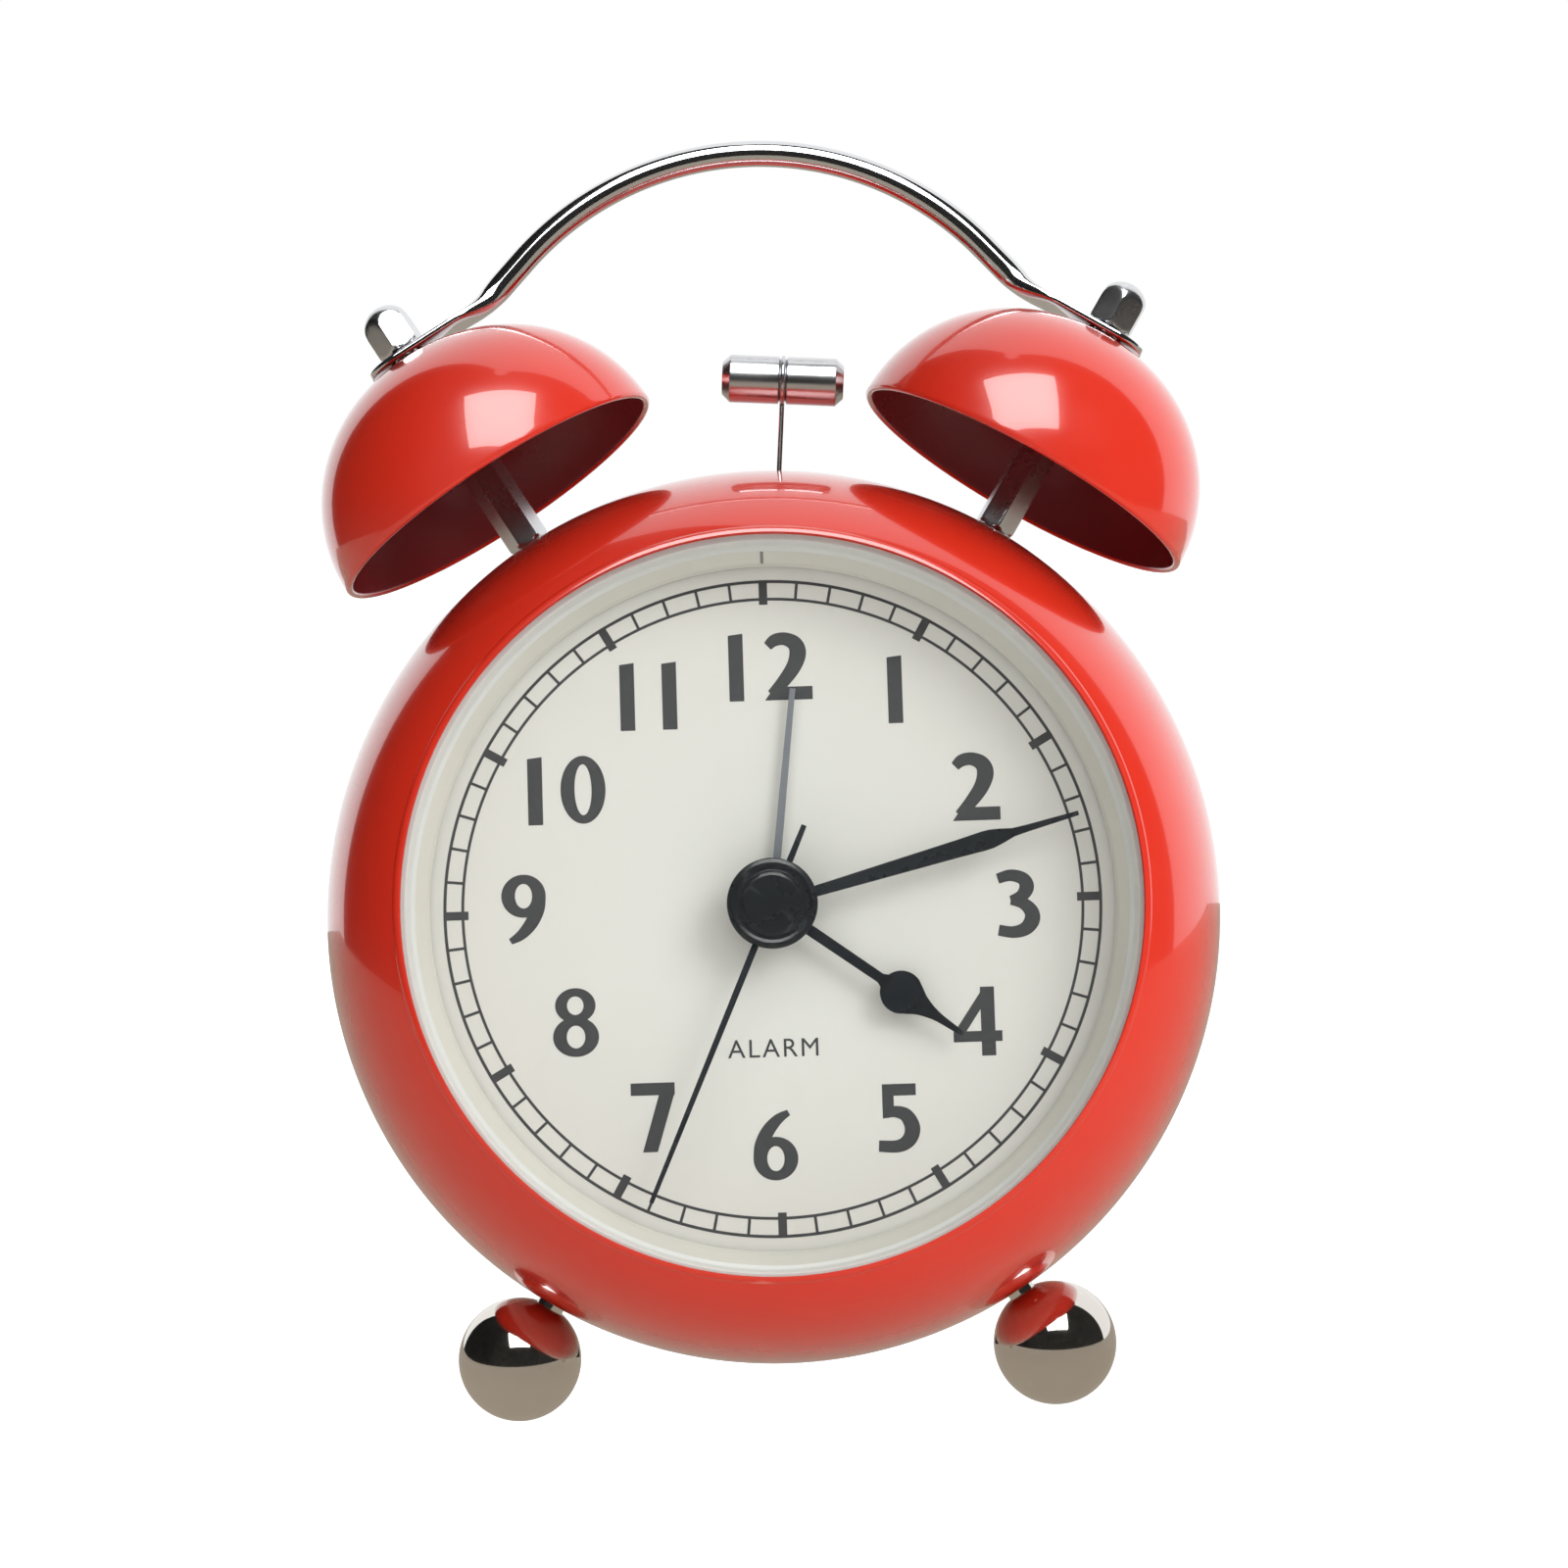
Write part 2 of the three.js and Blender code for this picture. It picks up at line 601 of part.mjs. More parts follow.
function makeStriker() {
  const { pivotX, pivotZ, tilt } = hammer;
  const motorAt = [alarmMotor.x, alarmMotor.z];
  const can = bar(motorAt, alarmMotor.radius, alarmMotor.front, alarmMotor.back, 20);
  place("alarm_motor", can, "steel");
  const lobe = bar([alarmMotor.x, alarmMotor.z - 2.2], 2.8, 7, 9, 16);
  const spindle = bar(motorAt, 0.8, 6, alarmMotor.front - gap, 10);
  place("striker_cam", join(lobe, spindle), "whitePlastic");

  const bracket = cut(
    block([-13, 10.4, 23], [6, 11.2, 37.5]),
    bar(motorAt, 1.4, 9, 13, 12),
    bar([pivotX, pivotZ], 1.1, 9, 13, 12),
  );
  place("motor_bracket", bracket, "steel");
  place("hammer_pivot_pin", bar([pivotX, pivotZ], 0.8, 5.6, 11.8, 12), "steel");

  const swing = new THREE.Group();
  swing.position.set(pivotX, 0, pivotZ);
  swing.rotation.y = tilt;
  upright.add(swing);
  const hub = bar([0, 0], 2, slot.y - 0.7, slot.y + 0.7, 18);
  const tail = block([-0.9, slot.y - 0.7, -9.5], [0.9, slot.y + 0.7, 0]);
  const bore = bar([0, 0], 0.95, 6, 10, 14);
  place("hammer_lever", cut(join(hub, tail), bore), "steel", swing);
  const wireFoot = 2 + gap;
  const wireTop = hammer.headAt - hammerHead.radius - 0.1;
  place("hammer_wire", column(0.25, wireFoot, wireTop, 8).translate(0, slot.y, 0), "chrome", swing);
  const half = hammer.headLength / 2;
  const { radius, chamfer, grooveHalfWidth, grooveDepth } = hammerHead;
  const rightHalf = [
    [radius - grooveDepth, grooveHalfWidth - 0.1],
    [radius, grooveHalfWidth],
    [radius, half - chamfer],
    [radius - chamfer, half],
    [0, half],
  ];
  const leftHalf = rightHalf.map(([out, along]) => [out, -along]).reverse();
  const head = turned([...leftHalf, ...rightHalf], 16).rotateZ(Math.PI / 2);
  head.translate(0, slot.y, hammer.headAt);
  place("hammer_head", head, "chrome", swing);
}

// ---------------------------------------------------------------- rear cover and what it holds

// Height of the surface that the clock stands on, at depth y, in the upright frame.
function standHeight(y) {
  const footLow = Math.cos(postAngle) * footCentre();
  const below = foot.y * Math.sin(leanAngle) + footLow * Math.cos(leanAngle) + foot.radius;
  return (y * Math.sin(leanAngle) - below) / Math.cos(leanAngle);
}

// A box with its far corners rounded off to the case's curve.
function trimmed(low, high, radius) {
  return common(block(low, high), bar([0, 0], radius, low[1] - 1, high[1] + 1, 56));
}

// The battery bay's opening, made larger all round by grow, between two depths.
function bayBlock(grow, from, to, radius) {
  const { halfWidth, bottom, top } = bay;
  return trimmed([-halfWidth - grow, from, bottom - grow], [halfWidth + grow, to, top + grow], radius);
}

const screwAngles = [90, 200, 340].map(degrees);
const screwPlaces = screwAngles.map((angle) => [36 * Math.cos(angle), 36 * Math.sin(angle)]);

function makeRearCover() {
  const disc = bar([0, 0], cover.radius, cover.front, cover.back, 56);
  const tray = bayBlock(0, bay.front, cover.front + 0.5, bay.radius);
  const heelSide = outlineYZ([
    [heel.front, heel.top],
    [heel.back, heel.top],
    [heel.back, standHeight(heel.back)],
    [heel.front, standHeight(heel.front)],
  ]);
  const heelBlock = slab(heelSide, -heel.halfWidth, heel.halfWidth);
  const openings = [
    bayBlock(-bay.wall, bay.front + bay.wall, 50, bay.radius - bay.wall),
    bayBlock(bay.ledge, bay.doorBack - 1.8, 50, bay.doorRadius),
    ...[arborAt.timeSet, arborAt.alarmSet].map((at) => bar(at, cover.knobHole, 30, 50, 16)),
    ...screwPlaces.map((at) => bar(at, 1.5, 30, 50, 12)),
    block([-6, 30, 17], [6, 50, 21]),
  ];
  place("rear_cover", cut(join(disc, tray, heelBlock), ...openings), "blackPlastic");
}

function makeCoverScrews() {
  screwPlaces.forEach(([x, z], i) => {
    const shank = bar([x, z], 1.1, 33, cover.back + 0.5, 12);
    const head = bar([x, z], 2.4, cover.back + gap, 42.6, 16);
    const recess = join(
      block([x - 1.6, 42, z - 0.3], [x + 1.6, 43, z + 0.3]),
      block([x - 0.3, 42, z - 1.6], [x + 0.3, 43, z + 1.6]),
    );
    place(`cover_screw_${i + 1}`, cut(join(shank, head), recess), "steel");
  });
}

function makeBattery() {
  const door = bayBlock(bay.ledge - gap, bay.doorBack - 1.5, bay.doorBack, bay.doorRadius - gap);
  place("battery_door", door, "blackPlastic");

  const at = [cell.y, cell.z];
  const jacket = lyingBar(at, cell.radius, cell.radius, -cell.length / 2, cell.length / 2, 24);
  const button = lyingBar(at, 2.6, 2.6, cell.length / 2 - 1, cell.length / 2 + 1, 12);
  place("battery", join(jacket, button), "steel");
  const low = cell.z - 5;
  const high = cell.z + 5;
  place("contact_positive", block([27, 23, low], [27.5, 34, high]), "steel");
  const spring = lyingBar(at, 3, 4.5, -27.1, -24.9);
  place("contact_spring", join(block([-27.5, 23, low], [-27, 34, high]), spring), "steel");
}

function makeControls() {
  const slider = join(
    block([-3.5, 41.5, 16.2], [3.5, 42.3, 21.8]),
    block([-2, 36, 17.5], [2, 44, 20.5]),
  );
  place("alarm_switch", slider.translate(-switchTravel / 2, 0, 0), "blackPlastic");
  place("switch_contacts", block([-7, 33.4, 16.5], [7, 35.6, 21.5]), "board");
  makeKnob("time_set_knob", arborAt.timeSet);
  makeKnob("alarm_set_knob", arborAt.alarmSet);
}

function outlineYZ(points) {
  return new THREE.Shape(points.map(([y, z]) => new THREE.Vector2(y, z)));
}

// An outline in Y and Z given thickness along X.
function slab(shape, from, to) {
  const solid = new THREE.ExtrudeGeometry(shape, { depth: to - from, bevelEnabled: false });
  return solid.rotateX(Math.PI / 2).rotateZ(Math.PI / 2).translate(from, 0, 0);
}

function makeKnob(name, at) {
  const ribs = 16;
  const points = [];
  for (let i = 0; i < 2 * ribs; i++) {
    const angle = (i * TURN) / (2 * ribs);
    const radius = i % 2 ? knob.radius - 0.5 : knob.radius;
    points.push([radius * Math.cos(angle), radius * Math.sin(angle)]);
  }
  const body = plate(outline(points), knob.front, knob.back).translate(at[0], 0, at[1]);
  place(name, cut(body, bar(at, 1.3, 40, 46.3, 12)), "blackPlastic");
}

// ---------------------------------------------------------------- build

makeCase();
makeFront();
sides.forEach(makeBell);
makeHandle();
sides.forEach(makeFoot);
makeHands();
makeTrain();
makeMovement();
makeStriker();
makeRearCover();
makeCoverScrews();
makeBattery();
makeControls();

upright.rotation.x = -leanAngle;
upright.position.z = -standHeight(0) * Math.cos(leanAngle);
const reach = new THREE.Box3().setFromObject(clock, true);
upright.position.y = -(reach.min.y + reach.max.y) / 2;

export default clock;
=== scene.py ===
import json
from math import acos, asin, atan2, copysign, cos, hypot, inf, pi, radians, sin, sqrt, tan, tau

import bmesh
import bpy
from mathutils import Matrix, Vector


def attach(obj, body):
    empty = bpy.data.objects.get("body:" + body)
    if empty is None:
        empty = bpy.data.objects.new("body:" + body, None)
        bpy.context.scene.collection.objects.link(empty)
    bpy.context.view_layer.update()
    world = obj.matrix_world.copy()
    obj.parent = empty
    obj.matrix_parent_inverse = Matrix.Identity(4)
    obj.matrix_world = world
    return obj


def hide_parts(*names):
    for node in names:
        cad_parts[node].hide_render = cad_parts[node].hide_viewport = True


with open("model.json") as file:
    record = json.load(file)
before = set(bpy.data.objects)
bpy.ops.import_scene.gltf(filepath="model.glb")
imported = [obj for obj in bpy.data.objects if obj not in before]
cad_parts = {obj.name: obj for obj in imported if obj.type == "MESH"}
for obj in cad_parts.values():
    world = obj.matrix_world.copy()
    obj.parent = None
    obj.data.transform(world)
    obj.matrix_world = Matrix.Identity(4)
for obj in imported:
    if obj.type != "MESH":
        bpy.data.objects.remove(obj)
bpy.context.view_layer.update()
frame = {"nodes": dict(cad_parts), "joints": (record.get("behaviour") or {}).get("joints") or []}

# ---------------------------------------------------------------- frames of reference
# Shapes are drawn in the clock's own upright frame, in millimetres: X to the right, Y into the clock, Z up,
# from the centre of the dial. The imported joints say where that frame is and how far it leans.

MM = 0.001
joints = {joint["name"]: joint for joint in frame["joints"]}
into_clock = Vector(joints["second_hand_turn"]["axis"])
dial_centre = Vector(joints["second_hand_turn"]["pos_m"])
lean = atan2(-into_clock.z, into_clock.y)
UPRIGHT = Matrix.Translation(dial_centre) @ Matrix.Rotation(-lean, 4, "X") @ Matrix.Scale(MM, 4)


def along_y(x=0.0, z=0.0):
    """Local Z runs into the clock from (x, z)."""
    return Matrix.Translation((x, 0, z)) @ Matrix.Rotation(radians(-90), 4, "X")


def ray(angle, y, height=0.0):
    """Local Z points out of the case at this angle from straight up, and starts at this height on it."""
    outwards = Matrix.Translation((0, 0, height))
    return Matrix.Translation((0, y, 0)) @ Matrix.Rotation(angle, 4, "Y") @ outwards


def turns(count):
    """Evenly spaced angles, once round."""
    return [tau * i / count for i in range(count)]


def add_object(name, data):
    made = bpy.data.objects.new(name, data)
    bpy.context.scene.collection.objects.link(made)
    return made


def mesh_object(name, shape):
    """An object made from this bmesh, which is used up."""
    data = bpy.data.meshes.new(name)
    shape.to_mesh(data)
    shape.free()
    return add_object(name, data)


def evaluated_mesh(source):
    """The mesh that an object comes to with its modifiers or its text; the object itself is removed."""
    bpy.context.view_layer.update()
    data = bpy.data.meshes.new_from_object(source.evaluated_get(bpy.context.evaluated_depsgraph_get()))
    bpy.data.objects.remove(source)
    return data


# ---------------------------------------------------------------- sizes, in millimetres

POST_ANGLE = radians(31.5)
TILTS = {"left": -POST_ANGLE, "right": POST_ANGLE}
GAP = 0.3

SHELL = dict(core=29.5, bulge=15.5, middle=13.0, front_reach=23.5, rear_reach=80.0, rear_edge=40.0,
             lip_radius=35.6, wall=1.2)
SLOT = dict(x=2.3, y=8.0, length=9.8, width=1.6)
BELL = dict(rim_radius=18.4, height=17.1, wall=0.8, rim_at=51.1, y=13.0, hole=1.9)
BELL_TOP = BELL["rim_at"] + BELL["height"]
POST = dict(corner=2.2, foot=45.4, stud=1.4, tip=72.2)
NUT = dict(corner=2.6, height=5.2)
ROD = dict(diameter=2.7, apex=78.85, arch=32.0, bend=radians(48))
TAB = dict(width=6.0, thickness=0.7, bend_at=-9.3, tail=4.3)
FOOT = dict(radius=6.15, y=14.0, stud=1.4)
LENS = dict(radius=36.2, front=-6.5, thickness=1.0)
DIAL = dict(radius=36.4, thickness=0.6, hole=2.9)
HAMMER = dict(x=1.2, z=34.0, y=8.0, tilt=radians(4.2), head_at=19.9, length=12.3, radius=2.4)
COVER = dict(front=38.4, back=41.2, radius=42.6)
BAY = dict(half_width=29.0, bottom=-33.6, top=-15.4, front=19.6, radius=42.2, wall=1.2, ledge=0.6,
           door_radius=41.8)
CELL = dict(radius=7.1, length=49.0, y=28.6, z=-24.0)


# ---------------------------------------------------------------- node trees for the finishes

class Finish:
    """A procedural material built up a layer at a time on one Principled shader."""

    def __init__(self, name, colour, roughness, metallic=0.0):
        self.material = bpy.data.materials.new(name)
        self.material.use_nodes = True
        self.tree = self.material.node_tree
        self.shader = self.tree.nodes["Principled BSDF"]
        self.shader.inputs["Base Color"].default_value = (*colour, 1)
        self.shader.inputs["Roughness"].default_value = roughness
        self.shader.inputs["Metallic"].default_value = metallic
        self.colour = colour
        self.colour_from = None
        self.height_from = None
        self.coordinates = self.node("ShaderNodeTexCoord").outputs["Object"]

    def node(self, kind, values=(), **settings):
        """A new node with these values on its inputs and these settings."""
        made = self.tree.nodes.new(kind)
        for key, value in settings.items():
            setattr(made, key, value)
        for key, value in dict(values).items():
            made.inputs[key].default_value = value
        return made

    def link(self, output, target):
        self.tree.links.new(output, target)

    def noise(self, scale, detail=4.0, stretch=None):
        made = self.node("ShaderNodeTexNoise", {"Scale": scale, "Detail": detail, "Roughness": 0.55})
        source = self.coordinates
        if stretch:
            mapping = self.node("ShaderNodeMapping", {"Scale": stretch})
            self.link(source, mapping.inputs["Vector"])
            source = mapping.outputs["Vector"]
        self.link(source, made.inputs["Vector"])
        return made.outputs["Fac"]

    def ramp(self, source, low, high, start=0.0, end=1.0):
        limits = {"From Min": low, "From Max": high, "To Min": start, "To Max": end}
        made = self.node("ShaderNodeMapRange", limits)
        self.link(source, made.inputs["Value"])
        return made.outputs["Result"]

    def tint(self, mask, other):
        """The colour moves towards another where the mask is high."""
        mix = self.node("ShaderNodeMix", data_type="RGBA")
        if self.colour_from:
            self.link(self.colour_from, mix.inputs["A"])
        else:
            mix.inputs["A"].default_value = (*self.colour, 1)
        mix.inputs["B"].default_value = (*other, 1)
        self.link(mask, mix.inputs["Factor"])
        self.colour_from = mix.outputs["Result"]
        self.link(self.colour_from, self.shader.inputs["Base Color"])
        return self

    def mottle(self, scale, share, factor=0.8):
        """Soft patches of a darker or lighter colour."""
        mask = self.ramp(self.noise(scale, 5.0), 0.35, 0.7, 0.0, share)
        return self.tint(mask, tuple(min(1.0, c * factor) for c in self.colour))

    def gloss(self, scale, low, high):
        """Roughness that wanders between two values, as handled surfaces do."""
        source = self.ramp(self.noise(scale, 6.0), 0.3, 0.72, low, high)
        self.link(source, self.shader.inputs["Roughness"])
        return self

    def edges(self, other, low=0.53, high=0.62, share=0.5):
        """Worn or thin paint on sharp edges."""
        pointed = self.node("ShaderNodeNewGeometry").outputs["Pointiness"]
        return self.tint(self.ramp(pointed, low, high, 0.0, share), other)

    def relief(self, source, strength, distance):
        """Adds a bump of this real height in metres."""
        bump = self.node("ShaderNodeBump", {"Strength": strength, "Distance": distance})
        self.link(source, bump.inputs["Height"])
        if self.height_from:
            self.link(self.height_from, bump.inputs["Normal"])
        self.height_from = bump.outputs["Normal"]
        self.link(self.height_from, self.shader.inputs["Normal"])
        return self

    def grain(self, scale, strength, distance, detail=2.0, stretch=None):
        """A noisy bump."""
        return self.relief(self.noise(scale, detail, stretch), strength, distance)

    def set(self, **sockets):
        for key, value in sockets.items():
            self.shader.inputs[key.replace("_", " ").title().replace("Ior", "IOR")].default_value = value
        return self


def enamel(name, colour):
    finish = Finish(name, colour, 0.2)
    finish.mottle(35, 0.35, 0.86).edges((0.86, 0.30, 0.22), share=0.35).gloss(60, 0.16, 0.26)
    finish.grain(420, 0.035, 0.0002).grain(2600, 0.02, 0.00004)
    return finish.set(coat_weight=1.0, coat_roughness=0.025, coat_ior=1.52)


def plated(name, colour, low, high, bump=0.03):
    finish = Finish(name, colour, low, 1.0)
    finish.mottle(90, 0.5, 0.9).gloss(140, low, high)
    finish.grain(1800, bump, 0.00003, 3.0, (1, 1, 0.15))
    return finish.edges((0.95, 0.95, 0.95), 0.56, 0.68, 0.25)


def moulded(name, colour, low=0.38, high=0.55, grain=1400, bump=0.25, height=0.00004, edge=1.5):
    finish = Finish(name, colour, 0.45)
    finish.mottle(50, 0.4, 0.9).edges(tuple(min(1.0, c * edge + 0.01) for c in colour))
    return finish.gloss(110, low, high).grain(grain, bump, height, 3.0)


def make_card():
    finish = Finish("dial_card", (0.815, 0.81, 0.76), 0.6).mottle(25, 0.5, 0.955)
    fibres = finish.ramp(finish.noise(2200, 3.0, (1, 1, 0.25)), 0.5, 0.75, 0.0, 0.10)
    return finish.tint(fibres, (0.66, 0.65, 0.6)).gloss(300, 0.5, 0.66).grain(3200, 0.12, 0.00002)


def make_ink():
    finish = Finish("dial_ink", (0.062, 0.064, 0.068), 0.5)
    thin = finish.ramp(finish.noise(3000), 0.5, 0.8, 0.0, 0.35)
    return finish.tint(thin, (0.09, 0.095, 0.10)).gloss(800, 0.42, 0.6)


def make_lens():
    """Clear with a gloss that grows where the surface is seen at a low angle."""
    finish = Finish("lens_clear", (1, 1, 1), 0.02)
    finish.tree.nodes.remove(finish.shader)
    clear = finish.node("ShaderNodeBsdfTransparent", {"Color": (0.985, 0.99, 0.985, 1)})
    shine = finish.node("ShaderNodeBsdfGlossy", {"Color": (1, 1, 1, 1)})
    smear = finish.ramp(finish.noise(45, 5.0), 0.4, 0.75, 0.015, 0.06)
    finish.link(smear, shine.inputs["Roughness"])
    facing = finish.node("ShaderNodeLayerWeight", {"Blend": 0.5})
    steep = finish.node("ShaderNodeMath", {1: 5.0}, operation="POWER")
    finish.link(facing.outputs["Facing"], steep.inputs[0])
    mix = finish.node("ShaderNodeMixShader")
    share = finish.ramp(steep.outputs[0], 0.0, 1.0, 0.034, 0.9)
    for i, source in enumerate((share, clear.outputs[0], shine.outputs[0])):
        finish.link(source, mix.inputs[i])
    finish.link(mix.outputs[0], finish.tree.nodes["Material Output"].inputs["Surface"])
    return finish


def make_cell_sleeve():
    finish = Finish("battery_jacket", (0.030, 0.035, 0.048), 0.3).mottle(60, 0.5, 1.6)
    return finish.gloss(180, 0.2, 0.36).grain(700, 0.08, 0.00005, 2.0, (0.2, 1, 1))


def patterned(finish, kind, values, mask, other, **settings):
    """Colours a repeating pattern and returns it, so that it can be raised as well."""
    pattern = finish.node(kind, values, **settings)
    finish.link(finish.coordinates, pattern.inputs["Vector"])
    height = pattern.outputs["Fac"]
    finish.tint(finish.ramp(height, *mask), other)
    return height


def make_board():
    finish = Finish("circuit_board", (0.018, 0.105, 0.045), 0.4)
    sizes = {"Scale": 620, "Mortar Size": 0.028}
    traces = patterned(finish, "ShaderNodeTexBrick", sizes, (0.1, 0.9, 0.0, 0.7), (0.035, 0.20, 0.085))
    return finish.gloss(400, 0.3, 0.45).relief(traces, 0.3, 0.00003)


def make_winding():
    finish = Finish("copper_wire", (0.50, 0.17, 0.065), 0.3, 1.0)
    strands = patterned(finish, "ShaderNodeTexWave", {"Scale": 1700}, (0.0, 0.4, 0.6, 0.0),
                        (0.16, 0.045, 0.02), wave_type="BANDS", bands_direction="Z")
    return finish.gloss(500, 0.22, 0.4).relief(strands, 0.6, 0.00005)


TRIM = dict(low=0.28, high=0.42, grain=1100, bump=0.06, height=0.00003, edge=1.05)
FINISHES = {
    "red": enamel("red_enamel", (0.70, 0.029, 0.012)),
    # Bell insides: the same red enamel made darker, painted shade for the hollow of each bell.
    "inside": moulded("bell_inside_painted_shade", (0.26, 0.022, 0.024), 0.24, 0.36, 500, 0.05, 0.0001, 1.6),
    "chrome": plated("chrome", (0.80, 0.81, 0.83), 0.05, 0.11, 0.004),
    "satin": plated("satin_plate", (0.72, 0.73, 0.75), 0.2, 0.3, 0.01),
    "turned": plated("turned_plate", (0.76, 0.77, 0.79), 0.22, 0.34, 0.01),
    "nickel": plated("nickel", (0.80, 0.765, 0.71), 0.04, 0.09, 0.015),
    "steel": plated("plain_steel", (0.50, 0.505, 0.52), 0.2, 0.36, 0.15),
    "brass": plated("turned_brass", (0.62, 0.42, 0.16), 0.18, 0.32, 0.12),
    "white": moulded("white_trim", (0.80, 0.80, 0.775), **TRIM),
    "card": make_card(),
    "ink": make_ink(),
    # Trim slope: the white trim made darker and warmer, painted shade on the surround's recessed slope.
    "slope": moulded("trim_slope_painted_shade", (0.74, 0.72, 0.65), **TRIM),
    "seam": moulded("trim_seam", (0.22, 0.21, 0.20)),
    "lens": make_lens(),
    "black": moulded("hand_black", (0.017, 0.020, 0.024), 0.22, 0.34, 900, 0.05, 0.00003, 2.5),
    "grey": moulded("hand_grey", (0.20, 0.215, 0.24), 0.3, 0.42, 900, 0.05, 0.00003, 1.3),
    "plastic": moulded("black_plastic", (0.018, 0.018, 0.020), 0.42, 0.6, 2300, 0.5, 0.00006, 2.2),
    "acetal": moulded("movement_plastic", (0.74, 0.74, 0.71), 0.32, 0.46, 900, 0.08, 0.00003, 1.1),
    "sleeve": make_cell_sleeve(),
    "board": make_board(),
    "winding": make_winding(),
}


# ---------------------------------------------------------------- mesh making

class Solid:
    """A mesh under construction in the upright frame, in millimetres."""

    def __init__(self, *finishes):
        self.mesh = bmesh.new()
        self.finishes = finishes

    def points(self, places, placed=Matrix()):
        return [self.mesh.verts.new(placed @ Vector(place)) for place in places]

    def face(self, corners, finish=0):
        distinct = list(dict.fromkeys(corners))
        if len(distinct) < 3:
            return
        made = self.mesh.faces.new(distinct)
        made.material_index = finish

    def skin(self, rings, closed_run=False, finish=0):
        """Faces between neighbouring rings of points; a closed run joins the last ring to the first."""
        rows = rings + [rings[0]] if closed_run else rings
        for near, far in zip(rows, rows[1:]):
            for i in range(max(len(near), len(far))):
                a, b = near[i % len(near)], near[(i + 1) % len(near)]
                c, d = far[(i + 1) % len(far)], far[i % len(far)]
                self.face([a, b, c, d], finish)

    def capped(self, rings, finish=0):
        """A skin with a flat face over each end."""
        self.skin(rings, finish=finish)
        self.face(rings[0], finish)
        self.face(rings[-1], finish)

    def lathe(self, profile, segments, closed=False, placed=Matrix(), finish=0):
        """A body of revolution about local Z from (radius, height) pairs; a closed profile makes a ring."""
        rings = []
        for radius, height in profile:
            angles = turns(segments) if radius > 1e-6 else [0.0]
            circle = [(radius * cos(a), radius * sin(a), height) for a in angles]
            rings.append(self.points(circle, placed))
        self.skin(rings, closed_run=closed, finish=finish)
        return rings

    def slab(self, outline, front, back, bevel, placed=Matrix(), finish=0):
        """A flat outline in X and Z given thickness in Y, with its front and back edges eased."""
        small = inset(outline, bevel)
        steps = [(small, front), (outline, front + bevel), (outline, back - bevel), (small, back)]
        self.capped([self.points([(x, y, z) for x, z in shape], placed) for shape, y in steps], finish)

    def build(self, name, body, nodes, smooth, weigh=False):
        """The finished piece, on its body, in place of these nodes; edges sharper than smooth stay sharp."""
        bmesh.ops.remove_doubles(self.mesh, verts=self.mesh.verts, dist=1e-5)
        bmesh.ops.recalc_face_normals(self.mesh, faces=self.mesh.faces)
        self.mesh.transform(UPRIGHT)
        made = mesh_object(name, self.mesh)
        for finish in self.finishes:
            made.data.materials.append(FINISHES[finish].material)
        made.data.shade_smooth()
        made.data.set_sharp_from_angle(angle=radians(smooth))
        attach(made, body)
        if weigh:
            flats = made.modifiers.new("true_flats", "WEIGHTED_NORMAL")
            flats.keep_sharp = True
            flats.weight = 90
        if nodes:
            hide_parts(*nodes)


def inset(outline, amount):
    """The outline moved inwards by this much, for slight bevels."""
    area = sum(a[0] * b[1] - b[0] * a[1] for a, b in zip(outline, outline[1:] + outline[:1]))
    way = 1 if area > 0 else -1
    moved = []
    for before, here, after in zip(outline[-1:] + outline[:-1], outline, outline[1:] + outline[:1]):
        first = (Vector(here) - Vector(before)).normalized()
        second = (Vector(after) - Vector(here)).normalized()
        along = (first + second).normalized()
        spread = max(0.4, along.dot(first))
        moved.append((here[0] - way * along.y * amount / spread, here[1] + way * along.x * amount / spread))
    return moved


def rounded(corners, steps=6, closed=True):
    """A line through (a, b, radius) corners with each corner turned into an arc."""
    line = []
    last = len(corners) - 1
    for i, (a, b, radius) in enumerate(corners):
        here = Vector((a, b))
        if radius <= 0 or (not closed and i in (0, last)):
            line.append((a, b))
            continue
        before = Vector(corners[i - 1][:2]) - here
        after = Vector(corners[(i + 1) % len(corners)][:2]) - here
        half = before.angle(after) / 2
        reach = min(radius / tan(half), 0.49 * before.length, 0.49 * after.length)
        radius = reach * tan(half)
        middle = here + (before.normalized() + after.normalized()).normalized() * (radius / sin(half))
        start = here + before.normalized() * reach - middle
        end = here + after.normalized() * reach - middle
        sweep = start.angle_signed(end)
        for k in range(steps + 1):
            turned = start.copy()
            turned.rotate(Matrix.Rotation(-sweep * k / steps, 2))
            line.append(tuple(middle + turned))
    return line


def circle(x, z, radius, count):
    return [(x + radius * sin(angle), z + radius * cos(angle)) for angle in turns(count)]


def smooth_line(points, per_span):
    """A Catmull-Rom line through points of any length of tuple."""
    ends = [points[0]] + list(points) + [points[-1]]
    line = []
    for i in range(1, len(ends) - 2):
        p0, p1, p2, p3 = (Vector(p) for p in ends[i - 1 : i + 3])
        for k in range(per_span):
            t = k / per_span
            line.append(tuple(0.5 * (2 * p1 + (p2 - p0) * t + (2 * p0 - 5 * p1 + 4 * p2 - p3) * t * t
                                     + (3 * p1 - p0 - 3 * p2 + p3) * t ** 3)))
    line.append(tuple(points[-1]))
    return line


# ---------------------------------------------------------------- case

def shell_radius(y, offset=0.0):
    """Radius of the case's outside, less an offset, at a depth."""
    bulge = SHELL["bulge"] - offset
    back = y - SHELL["middle"]
    reach = SHELL["front_reach"] - offset if back < 0 else SHELL["rear_reach"]
    return SHELL["core"] + bulge * sqrt(max(0.0, 1 - (back / reach) ** 2))


